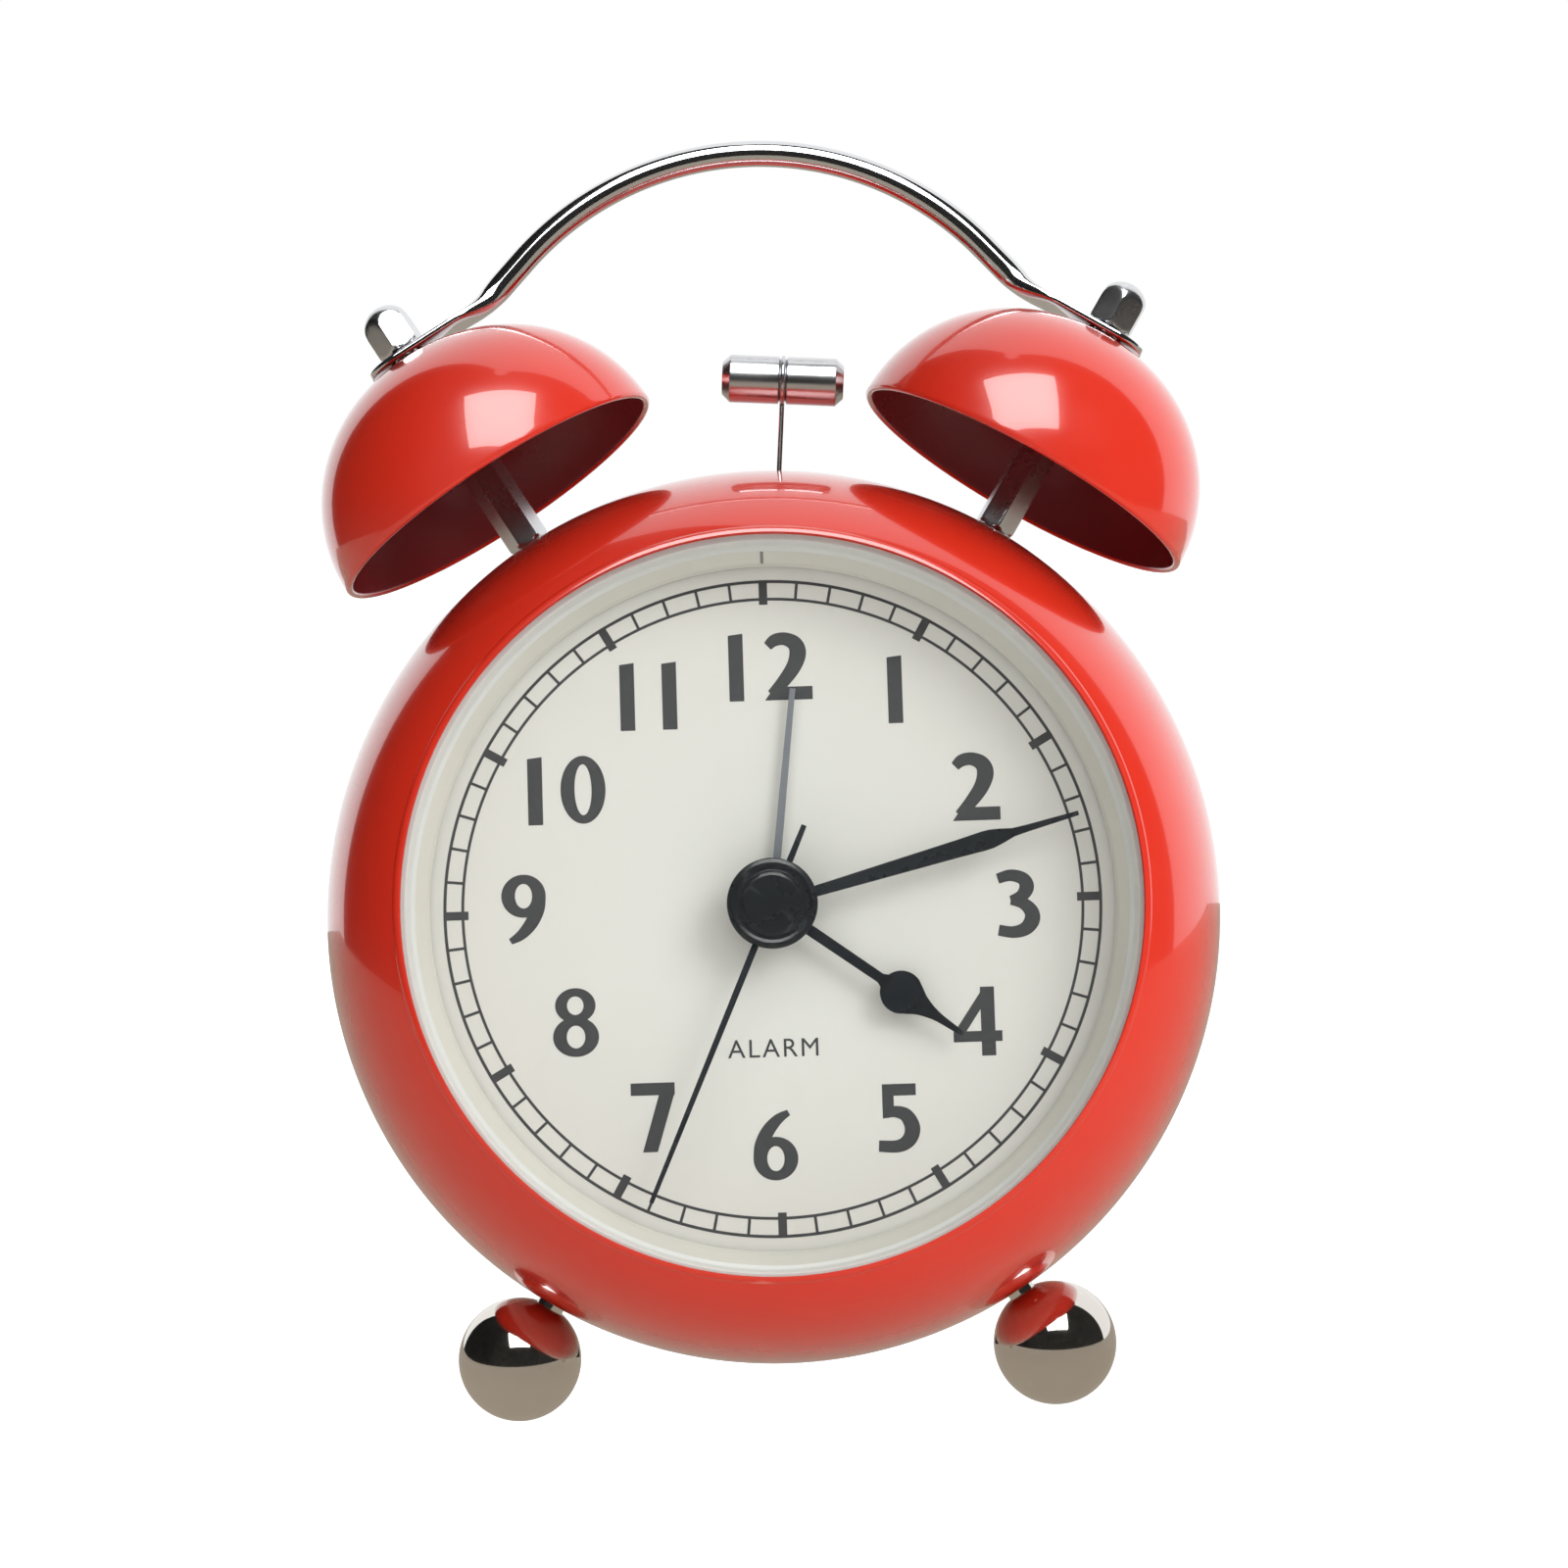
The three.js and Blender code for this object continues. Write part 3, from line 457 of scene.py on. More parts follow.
def shell_profile(offset, front_steps=44, rear_steps=14):
    bulge, reach = SHELL["bulge"] - offset, SHELL["front_reach"] - offset
    start = asin((SHELL["lip_radius"] - SHELL["core"]) / bulge)
    line = []
    for i in range(front_steps):
        angle = start + (pi / 2 - start) * i / front_steps
        line.append((SHELL["core"] + bulge * sin(angle), SHELL["middle"] - reach * cos(angle)))
    for i in range(rear_steps + 1):
        y = SHELL["middle"] + (SHELL["rear_edge"] - 0.6 - SHELL["middle"]) * i / rear_steps
        line.append((shell_radius(y, offset), y))
    return line


def half_turn(first, last, bulge, steps=8):
    """A rolled edge between two lines' ends that stands off by bulge times half their distance."""
    a, b = Vector(first), Vector(last)
    middle, arm = (a + b) / 2, (a - b) / 2
    out = Vector((-arm.y, arm.x)) * bulge
    return [tuple(middle + arm * cos(pi * k / steps) + out * sin(pi * k / steps))
            for k in range(1, steps)]


def make_case():
    outer, inner = shell_profile(0.0), shell_profile(SHELL["wall"])
    lip = half_turn(inner[0], outer[0], -1.0)
    rear = half_turn(outer[-1], inner[-1], -1.0)
    solid = Solid("red")
    solid.lathe(lip + outer + rear + inner[::-1], 224, closed=True, placed=along_y())
    cut_slot(solid)
    solid.build("enamelled_case", "frame", ["case_shell"], 40)


def cut_slot(solid):
    """Opens the hammer's slot: the faces around it make way for faces that end in its outline."""
    half_length, half_width = SLOT["length"] / 2, SLOT["width"] / 2
    reach_x, reach_y = half_length + 1.1, SLOT["width"] + 0.6
    doomed = {1: [], -1: []}
    for face in solid.mesh.faces:
        middle = face.calc_center_median()
        if middle.z < 38 or abs(middle.x - SLOT["x"]) >= reach_x or abs(middle.y - SLOT["y"]) >= reach_y:
            continue
        side = 1 if hypot(middle.x, middle.z) > shell_radius(middle.y, SHELL["wall"] / 2) else -1
        doomed[side].append(face)
    slot_line = slot_outline(half_length, half_width, 48)
    walls = []
    for side, faces in doomed.items():
        edges = [edge for face in faces for edge in face.edges]
        rim = [edge for edge in set(edges) if edges.count(edge) == 1]
        bmesh.ops.delete(solid.mesh, geom=faces, context="FACES_KEEP_BOUNDARY")
        offset = 0.0 if side == 1 else SHELL["wall"]
        ring = [solid.mesh.verts.new(on_shell(x, y, offset)) for x, y in slot_line]
        bridge(solid, {vertex for edge in rim for vertex in edge.verts}, ring, slot_bearing)
        walls.append(ring)
    lower = [solid.mesh.verts.new(on_shell(*eased(x, y, 0.18), 0.22)) for x, y in slot_line]
    solid.skin([walls[0], lower, walls[1]])


def slot_outline(half_length, half_width, count):
    """Points of a slot with round ends, evenly spaced, going round once."""
    line = []
    straight = half_length - half_width
    for angle in turns(count):
        x = straight * max(-1.0, min(1.0, cos(angle) * 1.25)) + half_width * cos(angle)
        y = half_width * copysign(abs(sin(angle)) ** 0.5, sin(angle))
        line.append((SLOT["x"] + x, SLOT["y"] + y))
    return line


def eased(x, y, amount):
    """A slot point moved towards the slot's middle line."""
    share_x, share_y = 2 * (x - SLOT["x"]) / SLOT["length"], 2 * (y - SLOT["y"]) / SLOT["width"]
    return x - amount * share_x, y - amount * share_y


def on_shell(x, y, offset):
    radius = shell_radius(y, offset)
    return Vector((x, y, sqrt(radius * radius - x * x)))


def slot_bearing(vertex):
    return atan2((vertex.co.y - SLOT["y"]) * 3, vertex.co.x - SLOT["x"])


def bridge(solid, outer, inner, bearing):
    """Triangles between two loops, matched by their direction from the middle."""
    loops = [sorted(loop, key=bearing) for loop in (outer, inner)]
    place = [0, 0]

    def following(which):
        loop, i = loops[which], place[which]
        return loop[(i + 1) % len(loop)]

    def reach(which):
        if place[which] >= len(loops[which]):
            return inf
        return bearing(following(which)) + (tau if place[which] + 1 >= len(loops[which]) else 0)

    while min(reach(0), reach(1)) < inf:
        which = 0 if reach(0) <= reach(1) else 1
        here = [loop[i % len(loop)] for loop, i in zip(loops, place)]
        corners = [here[0], following(which), here[1]]
        solid.face(corners)
        place[which] += 1


# ---------------------------------------------------------------- dial, surround and lens

def ring_profile(inner, outer, front, back, inner_edge, outer_edge):
    """A flat ring's section with its four edges rounded."""
    return rounded([(inner, front, inner_edge), (outer, front, outer_edge), (outer, back, outer_edge),
                    (inner, back, inner_edge)], 3)


def make_front():
    rim, front = LENS["radius"], LENS["front"]
    back = front + LENS["thickness"]
    lens = Solid("lens")
    pane = rounded([(0, front, 0), (rim, front, 0.25), (rim, back, 0.25), (0, back, 0)], 4, closed=False)
    lens.lathe(pane, 160, placed=along_y())
    lens.build("clear_lens", "frame", ["lens"], 32)

    ring = rounded([(36.1, -5.2, 0.15), (36.1, -0.3, 0.1), (33.4, -0.3, 0.1), (33.75, -1.05, 0.15),
                    (34.75, -2.3, 0.25), (35.15, -2.55, 0.2), (35.3, -5.2, 0.2)], 5)
    surround = Solid("white", "seam", "slope")
    surround.lathe(ring, 200, closed=True, placed=along_y())
    # Faces of the inner slope take the darker trim: painted shade in the recess between lens and dial.
    for face in surround.mesh.faces:
        middle = face.calc_center_median()
        if hypot(middle.x, middle.z) < 34.7 and middle.y < -0.3:
            face.material_index = 2
    seam_foot, seam_end, half = 33.6, 35.1, 0.15
    seam = [(-half, seam_foot), (half, seam_foot), (half, seam_end), (-half, seam_end)]
    hinge = Matrix.Translation((0, 0, 33.85))
    on_slope = hinge @ Matrix.Rotation(radians(50), 4, "X") @ hinge.inverted()
    surround.slab(seam, -0.03, 0.05, 0.01, Matrix.Translation((0, -1.28, 0)) @ on_slope, finish=1)
    surround.build("moulded_surround", "frame", ["dial_surround"], 32)

    card = Solid("card")
    section = ring_profile(DIAL["hole"], DIAL["radius"], 0, DIAL["thickness"], 0.05, 0.1)
    card.lathe(section, 160, closed=True, placed=along_y())
    card.build("printed_dial", "frame", ["dial"], 32)
    make_print()


INK = 0.02  # thickness of the print


def ink_strip(solid, left, right, closed=False, lift=0.0):
    """A flat printed stroke between two lines of (x, z) points."""
    rows = []
    for y in (-INK - lift, 0.0):
        rows.append([solid.points([(a[0], y, a[1]), (b[0], y, b[1])]) for a, b in zip(left, right)])
    front, back = rows
    for i in range(len(front) if closed else len(front) - 1):
        k = (i + 1) % len(front)
        solid.face([front[i][0], front[k][0], front[k][1], front[i][1]])
        for side in (0, 1):
            solid.face([front[i][side], front[k][side], back[k][side], back[i][side]])
    if not closed:
        for i in (0, -1):
            solid.face([front[i][0], front[i][1], back[i][1], back[i][0]])


def stroke(line):
    """Left and right edges of a pen stroke along (x, z, width) points."""
    left, right = [], []
    for before, (x, z, width), after in zip(line[:1] + line[:-1], line, line[1:] + line[-1:]):
        along = Vector((after[0] - before[0], after[1] - before[1])).normalized()
        left.append((x - along.y * width / 2, z + along.x * width / 2))
        right.append((x + along.y * width / 2, z - along.x * width / 2))
    return left, right


def oval(x, z, radius_x, radius_z, side, crown):
    """Edges of a ring-shaped stroke that is thicker at its sides than at its crown."""
    outer, inner = [], []
    for angle in turns(40):
        sine, cosine = sin(angle), cos(angle)
        outer.append((x + radius_x * sine, z + radius_z * cosine))
        inner.append((x + (radius_x - side) * sine, z + (radius_z - crown) * cosine))
    return outer, inner


# Each figure is drawn one unit high, by its width and its parts: "bar" is a straight-sided patch by its
# corners, "pen" a curved stroke by its middle line and width, "oval" a closed ring.
FIGURES = {
    "0": (0.66, [("oval", 0.33, 0.5, 0.33, 0.5, 0.205, 0.125)]),
    "1": (0.22, [("bar", (0, 0), (0.215, 0), (0.215, 1), (0, 0.975))]),
    "2": (0.70, [
        ("pen", (0.06, 0.80, 0.14), (0.16, 0.885, 0.18), (0.31, 0.905, 0.19), (0.455, 0.83, 0.225),
         (0.50, 0.69, 0.245), (0.44, 0.50, 0.22), (0.29, 0.29, 0.19), (0.10, 0.085, 0.15)),
        ("bar", (0.0, 0.0), (0.70, 0.0), (0.70, 0.195), (0.14, 0.195))]),
    "3": (0.62, [
        ("pen", (0.02, 0.87, 0.15), (0.21, 0.915, 0.17), (0.39, 0.86, 0.19), (0.44, 0.735, 0.215),
         (0.36, 0.61, 0.18), (0.20, 0.555, 0.12)),
        ("pen", (0.20, 0.545, 0.12), (0.38, 0.50, 0.17), (0.495, 0.38, 0.21), (0.50, 0.25, 0.225),
         (0.40, 0.13, 0.20), (0.22, 0.085, 0.17), (0.01, 0.12, 0.16))]),
    "4": (0.71, [
        ("bar", (0.405, 0), (0.61, 0), (0.61, 1), (0.405, 1)),
        ("bar", (0, 0.205), (0.71, 0.205), (0.71, 0.36), (0, 0.36)),
        ("bar", (0, 0.33), (0.17, 0.33), (0.53, 0.86), (0.53, 1.0), (0.46, 1.0))]),
    "5": (0.63, [
        ("bar", (0.09, 0.83), (0.58, 0.83), (0.58, 1.0), (0.09, 1.0)),
        ("bar", (0.09, 0.50), (0.255, 0.56), (0.255, 1.0), (0.09, 1.0)),
        ("pen", (0.12, 0.575, 0.14), (0.27, 0.60, 0.165), (0.43, 0.54, 0.20), (0.515, 0.36, 0.225),
         (0.46, 0.19, 0.21), (0.30, 0.10, 0.18), (0.02, 0.11, 0.165))]),
    "6": (0.66, [
        ("oval", 0.335, 0.315, 0.325, 0.315, 0.20, 0.135),
        ("pen", (0.11, 0.33, 0.20), (0.135, 0.52, 0.20), (0.235, 0.72, 0.19), (0.38, 0.88, 0.15),
         (0.54, 0.975, 0.09))]),
    "7": (0.64, [
        ("bar", (0, 0.82), (0.64, 0.82), (0.64, 1.0), (0, 1.0)),
        ("bar", (0.155, 0), (0.37, 0), (0.64, 0.86), (0.60, 0.93), (0.42, 0.86))]),
    "8": (0.67, [
        ("oval", 0.335, 0.745, 0.295, 0.255, 0.175, 0.12),
        ("oval", 0.335, 0.29, 0.335, 0.29, 0.20, 0.125)]),
    "9": (0.66, [
        ("oval", 0.325, 0.685, 0.325, 0.315, 0.20, 0.135),
        ("pen", (0.55, 0.67, 0.20), (0.525, 0.48, 0.20), (0.425, 0.28, 0.19), (0.28, 0.12, 0.15),
         (0.12, 0.025, 0.09))]),
}
FIGURE_HEIGHT = 6.7
# Distance of each hour's number from the centre of the dial, 1 to 12.
NUMBER_RADII = (24.5, 23.1, 24.0, 22.9, 24.0, 23.3, 23.6, 22.3, 24.3, 23.2, 24.0, 23.6)


def draw_figure(solid, figure, x, z):
    """One figure with its lower left corner at (x, z)."""

    def placed(points):
        return [(x + a * FIGURE_HEIGHT, z + b * FIGURE_HEIGHT) for a, b in points]

    for layer, (kind, *parts) in enumerate(FIGURES[figure][1]):
        lift = layer * 0.004
        if kind == "bar":
            patch = [solid.points([(a, y, b) for a, b in placed(parts)]) for y in (-INK - lift, 0.0)]
            solid.skin(patch)
            solid.face(patch[0])
        else:
            left, right = stroke(smooth_line(parts, 8)) if kind == "pen" else oval(*parts)
            ink_strip(solid, placed(left), placed(right), closed=kind == "oval", lift=lift)


def make_print():
    track = Solid("ink")
    for radius, width in ((32.05, 0.3), (30.3, 0.28)):
        edges = [circle(0, 0, radius + half, 240) for half in (width / 2, -width / 2)]
        ink_strip(track, *edges, closed=True)
    for minute in range(60):
        spin = Matrix.Rotation(tau * minute / 60, 2)
        hour = minute % 5 == 0
        half, low, high = (0.42, 29.75, 32.2) if hour else (0.14, 30.3, 32.05)
        edges = [[tuple(spin @ Vector((x, z))) for z in (low, high)] for x in (-half, half)]
        ink_strip(track, *edges, lift=0.004)
    track.build("minute_track", "frame", (), 30)

    for hour in range(1, 13):
        numbers = Solid("ink")
        angle, reach = radians(30 * hour + 1.2), NUMBER_RADII[hour - 1]
        figures = str(hour)
        space = {"10": 0.26, "11": 0.40, "12": 0.30}.get(figures, 0.0)
        width = sum(FIGURES[figure][0] for figure in figures) + space
        left = reach * sin(angle) - width * FIGURE_HEIGHT / 2
        for figure in figures:
            draw_figure(numbers, figure, left, reach * cos(angle) - FIGURE_HEIGHT / 2)
            left += (FIGURES[figure][0] + space) * FIGURE_HEIGHT
        numbers.build(f"hour_number_{hour}", "frame", (), 30)

    make_word()


def make_word():
    """The small generic word under the centre."""
    curve = bpy.data.curves.new("small_word", "FONT")
    curve.body = "ALARM"
    curve.size = 2.55
    curve.space_character = 1.16
    curve.align_x = "CENTER"
    curve.extrude = INK / 2
    data = evaluated_mesh(add_object("small_word_text", curve))
    stand = Matrix.Translation((-0.3, -INK / 2, -14.7)) @ Matrix.Rotation(radians(90), 4, "X")
    data.transform(UPRIGHT @ stand)
    data.materials.clear()
    data.materials.append(FINISHES["ink"].material)
    word = add_object("small_word", data)
    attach(word, "frame")


# ---------------------------------------------------------------- hands

HAND_THICKNESS = 0.3


def make_hand(name, body, turn, front, boss, hole, bevel, right, finish="black"):
    """A flat hand on a round boss; right is the right side of its blade as (half width, reach) points."""
    turned = Matrix.Rotation(radians(turn), 4, "Y")
    back = front + HAND_THICKNESS
    hand = Solid(finish)
    hand.slab(right + [(-a, b) for a, b in reversed(right)], front, back, bevel, turned)
    section = ring_profile(hole, boss, front, back, 0.06, 0.06)
    hand.lathe(section, 72, closed=True, placed=turned @ along_y())
    hand.build(f"{name}_hand_blade", body, [f"{name}_hand"], 32)


def hour_blade():
    """A stem, a round bulb and a long thin tip."""
    stem, bulb_at, bulb, tip = 0.5, 15.1, 2.1, 22.3

    def on_bulb(angle):
        return bulb * sin(radians(angle)), bulb_at - bulb * cos(radians(angle))

    taper = [on_bulb(112), (1.55, bulb_at + 1.45), (0.95, bulb_at + 2.5), (0.5, bulb_at + 4.0),
             (0.34, bulb_at + 5.6), (0.27, tip)]
    shoulder = [(stem + 0.05, 1.9), (stem, bulb_at - bulb - 0.35)]
    return shoulder + [on_bulb(20 + 8 * k) for k in range(12)] + smooth_line(taper, 4)


def make_hands():
    make_hand("hour", "hours", 126.0, -2.2, 3.0, 1.75, 0.07, hour_blade())
    make_hand("minute", "minutes", 75.2, -3.3, 2.6, 1.15, 0.07,
              [(0.48, 1.6), (0.86, 19.0), (0.95, 21.4), (0.92, 22.2), (0.72, 23.2), (0.42, 24.4),
               (0.34, 26.0), (0.22, 31.0)])
    make_hand("second", "seconds", 203.8, -4.1, 2.2, 0.6, 0.05,
              [(0.26, -8.2), (0.34, -3.0), (0.34, 3.0), (0.22, 31.0)])
    make_hand("alarm", "alarm_time", 7.0, -1.1, 3.4, 2.35, 0.05, [(0.40, 2.7), (0.37, 10.0), (0.28, 21.4)],
              "grey")

    cap = Solid("black")
    corners = [(0, -5.2, 0), (2.7, -5.2, 0.12), (2.95, -5.08, 0.12), (3.2, -4.86, 0.1), (3.55, -4.86, 0.12),
               (3.9, -4.98, 0.25), (4.4, -4.78, 0.22), (4.4, -4.25, 0.05), (0, -4.25, 0)]
    cap.lathe(rounded(corners, 5, closed=False), 96, placed=along_y())
    cap.build("centre_cap", "seconds", ["second_hand_cap"], 50)


# ---------------------------------------------------------------- bells, posts, nuts

def bell_line(offset, steps=40):
    radius, height = BELL["rim_radius"] - offset, BELL["height"] - offset
    line = []
    for i in range(steps + 1):
        angle = pi / 2 * (1 - i / steps)
        line.append((max(radius * sin(angle) ** 0.94, BELL["hole"]), height * cos(angle) ** 0.98))
    line[0] = (radius, 0.35)
    trimmed = [point for point in line if point[0] > BELL["hole"]]
    return trimmed + [(BELL["hole"], height)]


def make_bell(side):
    placed = ray(TILTS[side], BELL["y"], BELL["rim_at"])
    outer, inner = bell_line(0.0), bell_line(BELL["wall"])
    roll = half_turn(inner[0], outer[0], 1.0, 10)
    # The hollow takes the darker red finish: painted shade under the dome, not a second paint.
    bell = Solid("red", "inside")
    rings = bell.lathe(roll + outer, 160, placed=placed)
    inside = bell.lathe(inner, 160, placed=placed, finish=1)
    bell.skin([inside[0], rings[0]], finish=1)
    bell.skin([rings[-1], inside[-1]], finish=1)
    bell.build(f"{side}_bell_dome", "frame", [f"bell_{side}"], 60)


def six_sided(solid, placed, corner, stations, turn, ease, around=96):
    """A hexagonal bar with its edges a little eased. At each (height, round radius) station its outline is
    the hexagon or the round, whichever is nearer."""
    rings = []
    apothem = corner * cos(pi / 6)
    for height, limit in stations:
        row = []
        for angle in turns(around):
            local = (angle - turn) % (pi / 3) - pi / 6
            flat = apothem / cos(local)
            power = 1 / ease
            reach = (flat ** -power + max(limit, 1e-3) ** -power) ** (-1 / power)
            row.append((reach * cos(angle), reach * sin(angle), height))
        rings.append(solid.points(row, placed))
    solid.capped(rings)


POST_TURN = {"left": radians(0), "right": radians(-20)}
NUT_TURN = {"left": radians(15), "right": radians(27)}


def make_post(side):
    placed = ray(TILTS[side], BELL["y"])
    top = BELL_TOP - BELL["wall"] - GAP
    corner, foot = POST["corner"], POST["foot"]
    post = Solid("turned")
    edge = corner * 1.03
    stations = [(foot, corner * 0.86), (foot + 0.25, corner * 0.97), (foot + 0.45, edge)]
    stations += [(foot + 0.45 + (top - 0.9 - foot) * k / 10, edge) for k in range(1, 11)]
    stations += [(top - 0.2, corner * 0.97), (top, corner * 0.86)]
    six_sided(post, placed, corner, stations, POST_TURN[side], 0.02)
    thread = [(0.0, 40.2), (1.15, 40.2)]
    height = 40.5
    while height < POST["tip"] - 0.3:
        thread += [(POST["stud"], height), (POST["stud"] - 0.14, height + 0.25)]
        height += 0.5
    thread += [(1.1, POST["tip"]), (0.0, POST["tip"])]
    post.lathe(thread, 24, placed=placed)
    post.build(f"{side}_hex_post", "frame", [f"bell_post_{side}"], 28)


def make_dome_nut(side):
    base = BELL_TOP + GAP + TAB["thickness"] + GAP
    placed = ray(TILTS[side], BELL["y"], base)
    corner, height = NUT["corner"], NUT["height"]
    crown = corner * 0.98
    shoulder = height - crown
    stations = [(0, corner * 0.9), (0.12, corner * 0.97), (0.3, corner * 1.05)]
    stations += [(0.3 + (shoulder - 0.3) * k / 8, corner * 1.05) for k in range(1, 9)]
    for k in range(1, 17):
        angle = pi / 2 * k / 16
        stations.append((shoulder + crown * sin(angle), crown * cos(angle) * 1.03))
    nut = Solid("turned")
    six_sided(nut, placed, corner, stations, NUT_TURN[side], 0.03)
    nut.build(f"{side}_acorn_nut", "frame", [f"dome_nut_{side}"], 28)


# ---------------------------------------------------------------- handle

def rod_line():
    """The right half of the handle's middle line in X and Z, from the top to the end of its tab, with each
    point's flatness, from the round rod (0) to the flattened tab (1)."""
    seat = BELL_TOP + GAP + TAB["thickness"] / 2
    arch, bend = ROD["arch"], ROD["bend"]

    def on_arch(angle):
        return arch * sin(angle), ROD["apex"] - arch * (1 - cos(angle))

    along = Vector((cos(POST_ANGLE), -sin(POST_ANGLE)))
    post_top = Vector((seat * sin(POST_ANGLE), seat * cos(POST_ANGLE)))
    line = [on_arch(bend * k / 40) for k in range(40)]
    corner = post_top + along * TAB["bend_at"]
    flat_from = post_top + along * -4.0
    line += rounded([(*on_arch(bend), 0), (*corner, 9.0), (*flat_from, 0)], 14, closed=False)
    tail = post_top + along * TAB["tail"]
    line += [tuple(flat_from.lerp(tail, sin(pi / 2 * k / 32))) for k in range(1, 33)]
    dense = [line[0]]
    for point in line[1:]:
        start = Vector(dense[-1])
        pieces = max(1, round((Vector(point) - start).length / 0.7))
        dense += [tuple(start.lerp(Vector(point), k / pieces)) for k in range(1, pieces + 1)]
    stations = []
    for point in dense:
        offset = (Vector(point) - post_top).dot(along)
        share = max(0.0, min(1.0, (offset - TAB["bend_at"] + 2.6) / 6.0))
        stations.append((*point, share * share * (3 - 2 * share)))
    return stations


def headings(line):
    """The direction of a line at each of its points."""
    points = [Vector(point) for point in line]
    neighbours = zip(points[:1] + points[:-1], points[1:] + points[-1:])
    return [(after - before).normalized() for before, after in neighbours]


def rod_section(width, thickness, flatness, around=48):
    """One section as (across, up): round on the arch, a thin bar with eased edges at the tabs."""
    power = 1.0 - 0.7 * flatness
    section = []
    for angle in turns(around):
        cosine, sine = cos(angle), sin(angle)
        across = copysign(abs(cosine) ** power, cosine) * width / 2
        section.append((across, copysign(abs(sine) ** power, sine) * thickness / 2))
    return section


def make_handle():
    half = rod_line()
    line = [(-x, z, flatness) for x, z, flatness in half[:0:-1]] + half
    end_at = Vector(half[-1][:2])
    handle = Solid("chrome")
    rings = []
    for (x, z, flatness), along in zip(line, headings([point[:2] for point in line])):
        up = Vector((-along.y, along.x))
        full = ROD["diameter"] * (1 - flatness) + TAB["width"] * flatness
        thickness = ROD["diameter"] * (1 - flatness) + TAB["thickness"] * flatness
        from_end = (Vector((abs(x), z)) - end_at).length
        cut = max(0.0, 1 - from_end / (TAB["width"] / 2))
        width = full * sqrt(max(0.004, 1 - cut * cut))
        row = []
        for across, rise in rod_section(width, thickness, flatness):
            row.append((x + up.x * rise, BELL["y"] + across, z + up.y * rise))
        rings.append(handle.points(row))
    handle.capped(rings)
    handle.build("carrying_handle", "frame", ["handle"], 50)


# ---------------------------------------------------------------- feet

def make_foot(side):
    radius, seat = FOOT["radius"], 1.7
    stud, stud_end = FOOT["stud"], -10.0
    placed = ray(pi - TILTS[side], FOOT["y"], SHELL["core"] + SHELL["bulge"] + radius + GAP)
    start = asin(seat / radius)
    profile = [(0, stud_end), (1.1, stud_end), (stud, stud_end + 0.4), (stud, 0.05 - radius * cos(start))]
    for k in range(73):
        turn = start + (pi - start) * k / 72
        profile.append((radius * sin(turn), -radius * cos(turn)))
    profile[-1] = (0, radius)
    foot = Solid("nickel")
    foot.lathe(profile, 128, placed=placed)
    foot.build(f"{side}_ball_foot", "frame", [f"ball_foot_{side}"], 50)


# ---------------------------------------------------------------- hammer

def make_hammer():
    pivot = Matrix.Translation((HAMMER["x"], HAMMER["y"], HAMMER["z"]))
    swing = pivot @ Matrix.Rotation(HAMMER["tilt"], 4, "Y")
    half, radius, at = HAMMER["length"] / 2, HAMMER["radius"], HAMMER["head_at"]
    lying = swing @ Matrix.Translation((0, 0, at)) @ Matrix.Rotation(radians(90), 4, "Y")
    right = [(radius - 0.32, 0.3, 0.12), (radius, 0.42, 0.1), (radius, half - 0.8, 0.15),
             (radius - 0.75, half, 0.12), (0, half, 0)]
    left = [(across, -reach, round_by) for across, reach, round_by in reversed(right)]
    head = Solid("satin")
    head.lathe(rounded(left + right, 5, closed=False), 72, placed=lying)
    head.build("striking_head", "hammer", ["hammer_head"], 40)

    wire = Solid("satin")
    thin = 0.25
    neck = radius - 0.32 + thin * 0.75
    path = [(0.0, 0.0, 2.3 + (at - neck - 2.3) * k / 24) for k in range(25)]
    for k in range(1, 41):
        turn = tau * 1.15 * k / 40
        path.append((0.0, neck * sin(turn), at - neck * cos(turn)))
    sweep(wire, path, thin, swing)
    wire.build("hammer_spring_wire", "hammer", ["hammer_wire"], 60)


def sweep(solid, path, radius, placed=Matrix(), around=14):
    """A round wire along a path of points."""
    rings = []
    side = Vector((1, 0, 0))
    for place, along in zip(path, headings(path)):
        side = (side - along * side.dot(along)).normalized()
        other = along.cross(side)
        row = [Vector(place) + (side * cos(a) + other * sin(a)) * radius for a in turns(around)]
        rings.append(solid.points(row, placed))
    solid.capped(rings)


# ---------------------------------------------------------------- rear cover and what it holds

# Turns a slab so that its outline lies in Y and Z, and its thickness along -X.
ACROSS = Matrix.Rotation(radians(90), 4, "Z")
KNOBS = {"time_set": 15.3, "alarm_set": -15.3}
SWITCH_Z = 19
SCREW_CIRCLE = 36


def bay_outline(grow, radius):
    """The battery bay's opening: a rectangle whose lower corners follow the case."""
    side, top, bottom = BAY["half_width"] + grow, BAY["top"] + grow, BAY["bottom"] - grow
    first, last = acos(side / radius), asin(-bottom / radius)
    arc = []
    for k in range(7):
        angle = first + (last - first) * k / 6
        arc.append((radius * cos(angle), -radius * sin(angle), 0.6 if k in (0, 6) else 0))
    right = [(side, top, 1.6)] + arc
    left = [(-x, z, round_by) for x, z, round_by in reversed(right)]
    return rounded(right + left, 5)


def loose(solid, name):
    """A mesh object of this solid for cutting with."""
    bmesh.ops.recalc_face_normals(solid.mesh, faces=solid.mesh.faces)
    return mesh_object(name, solid.mesh)


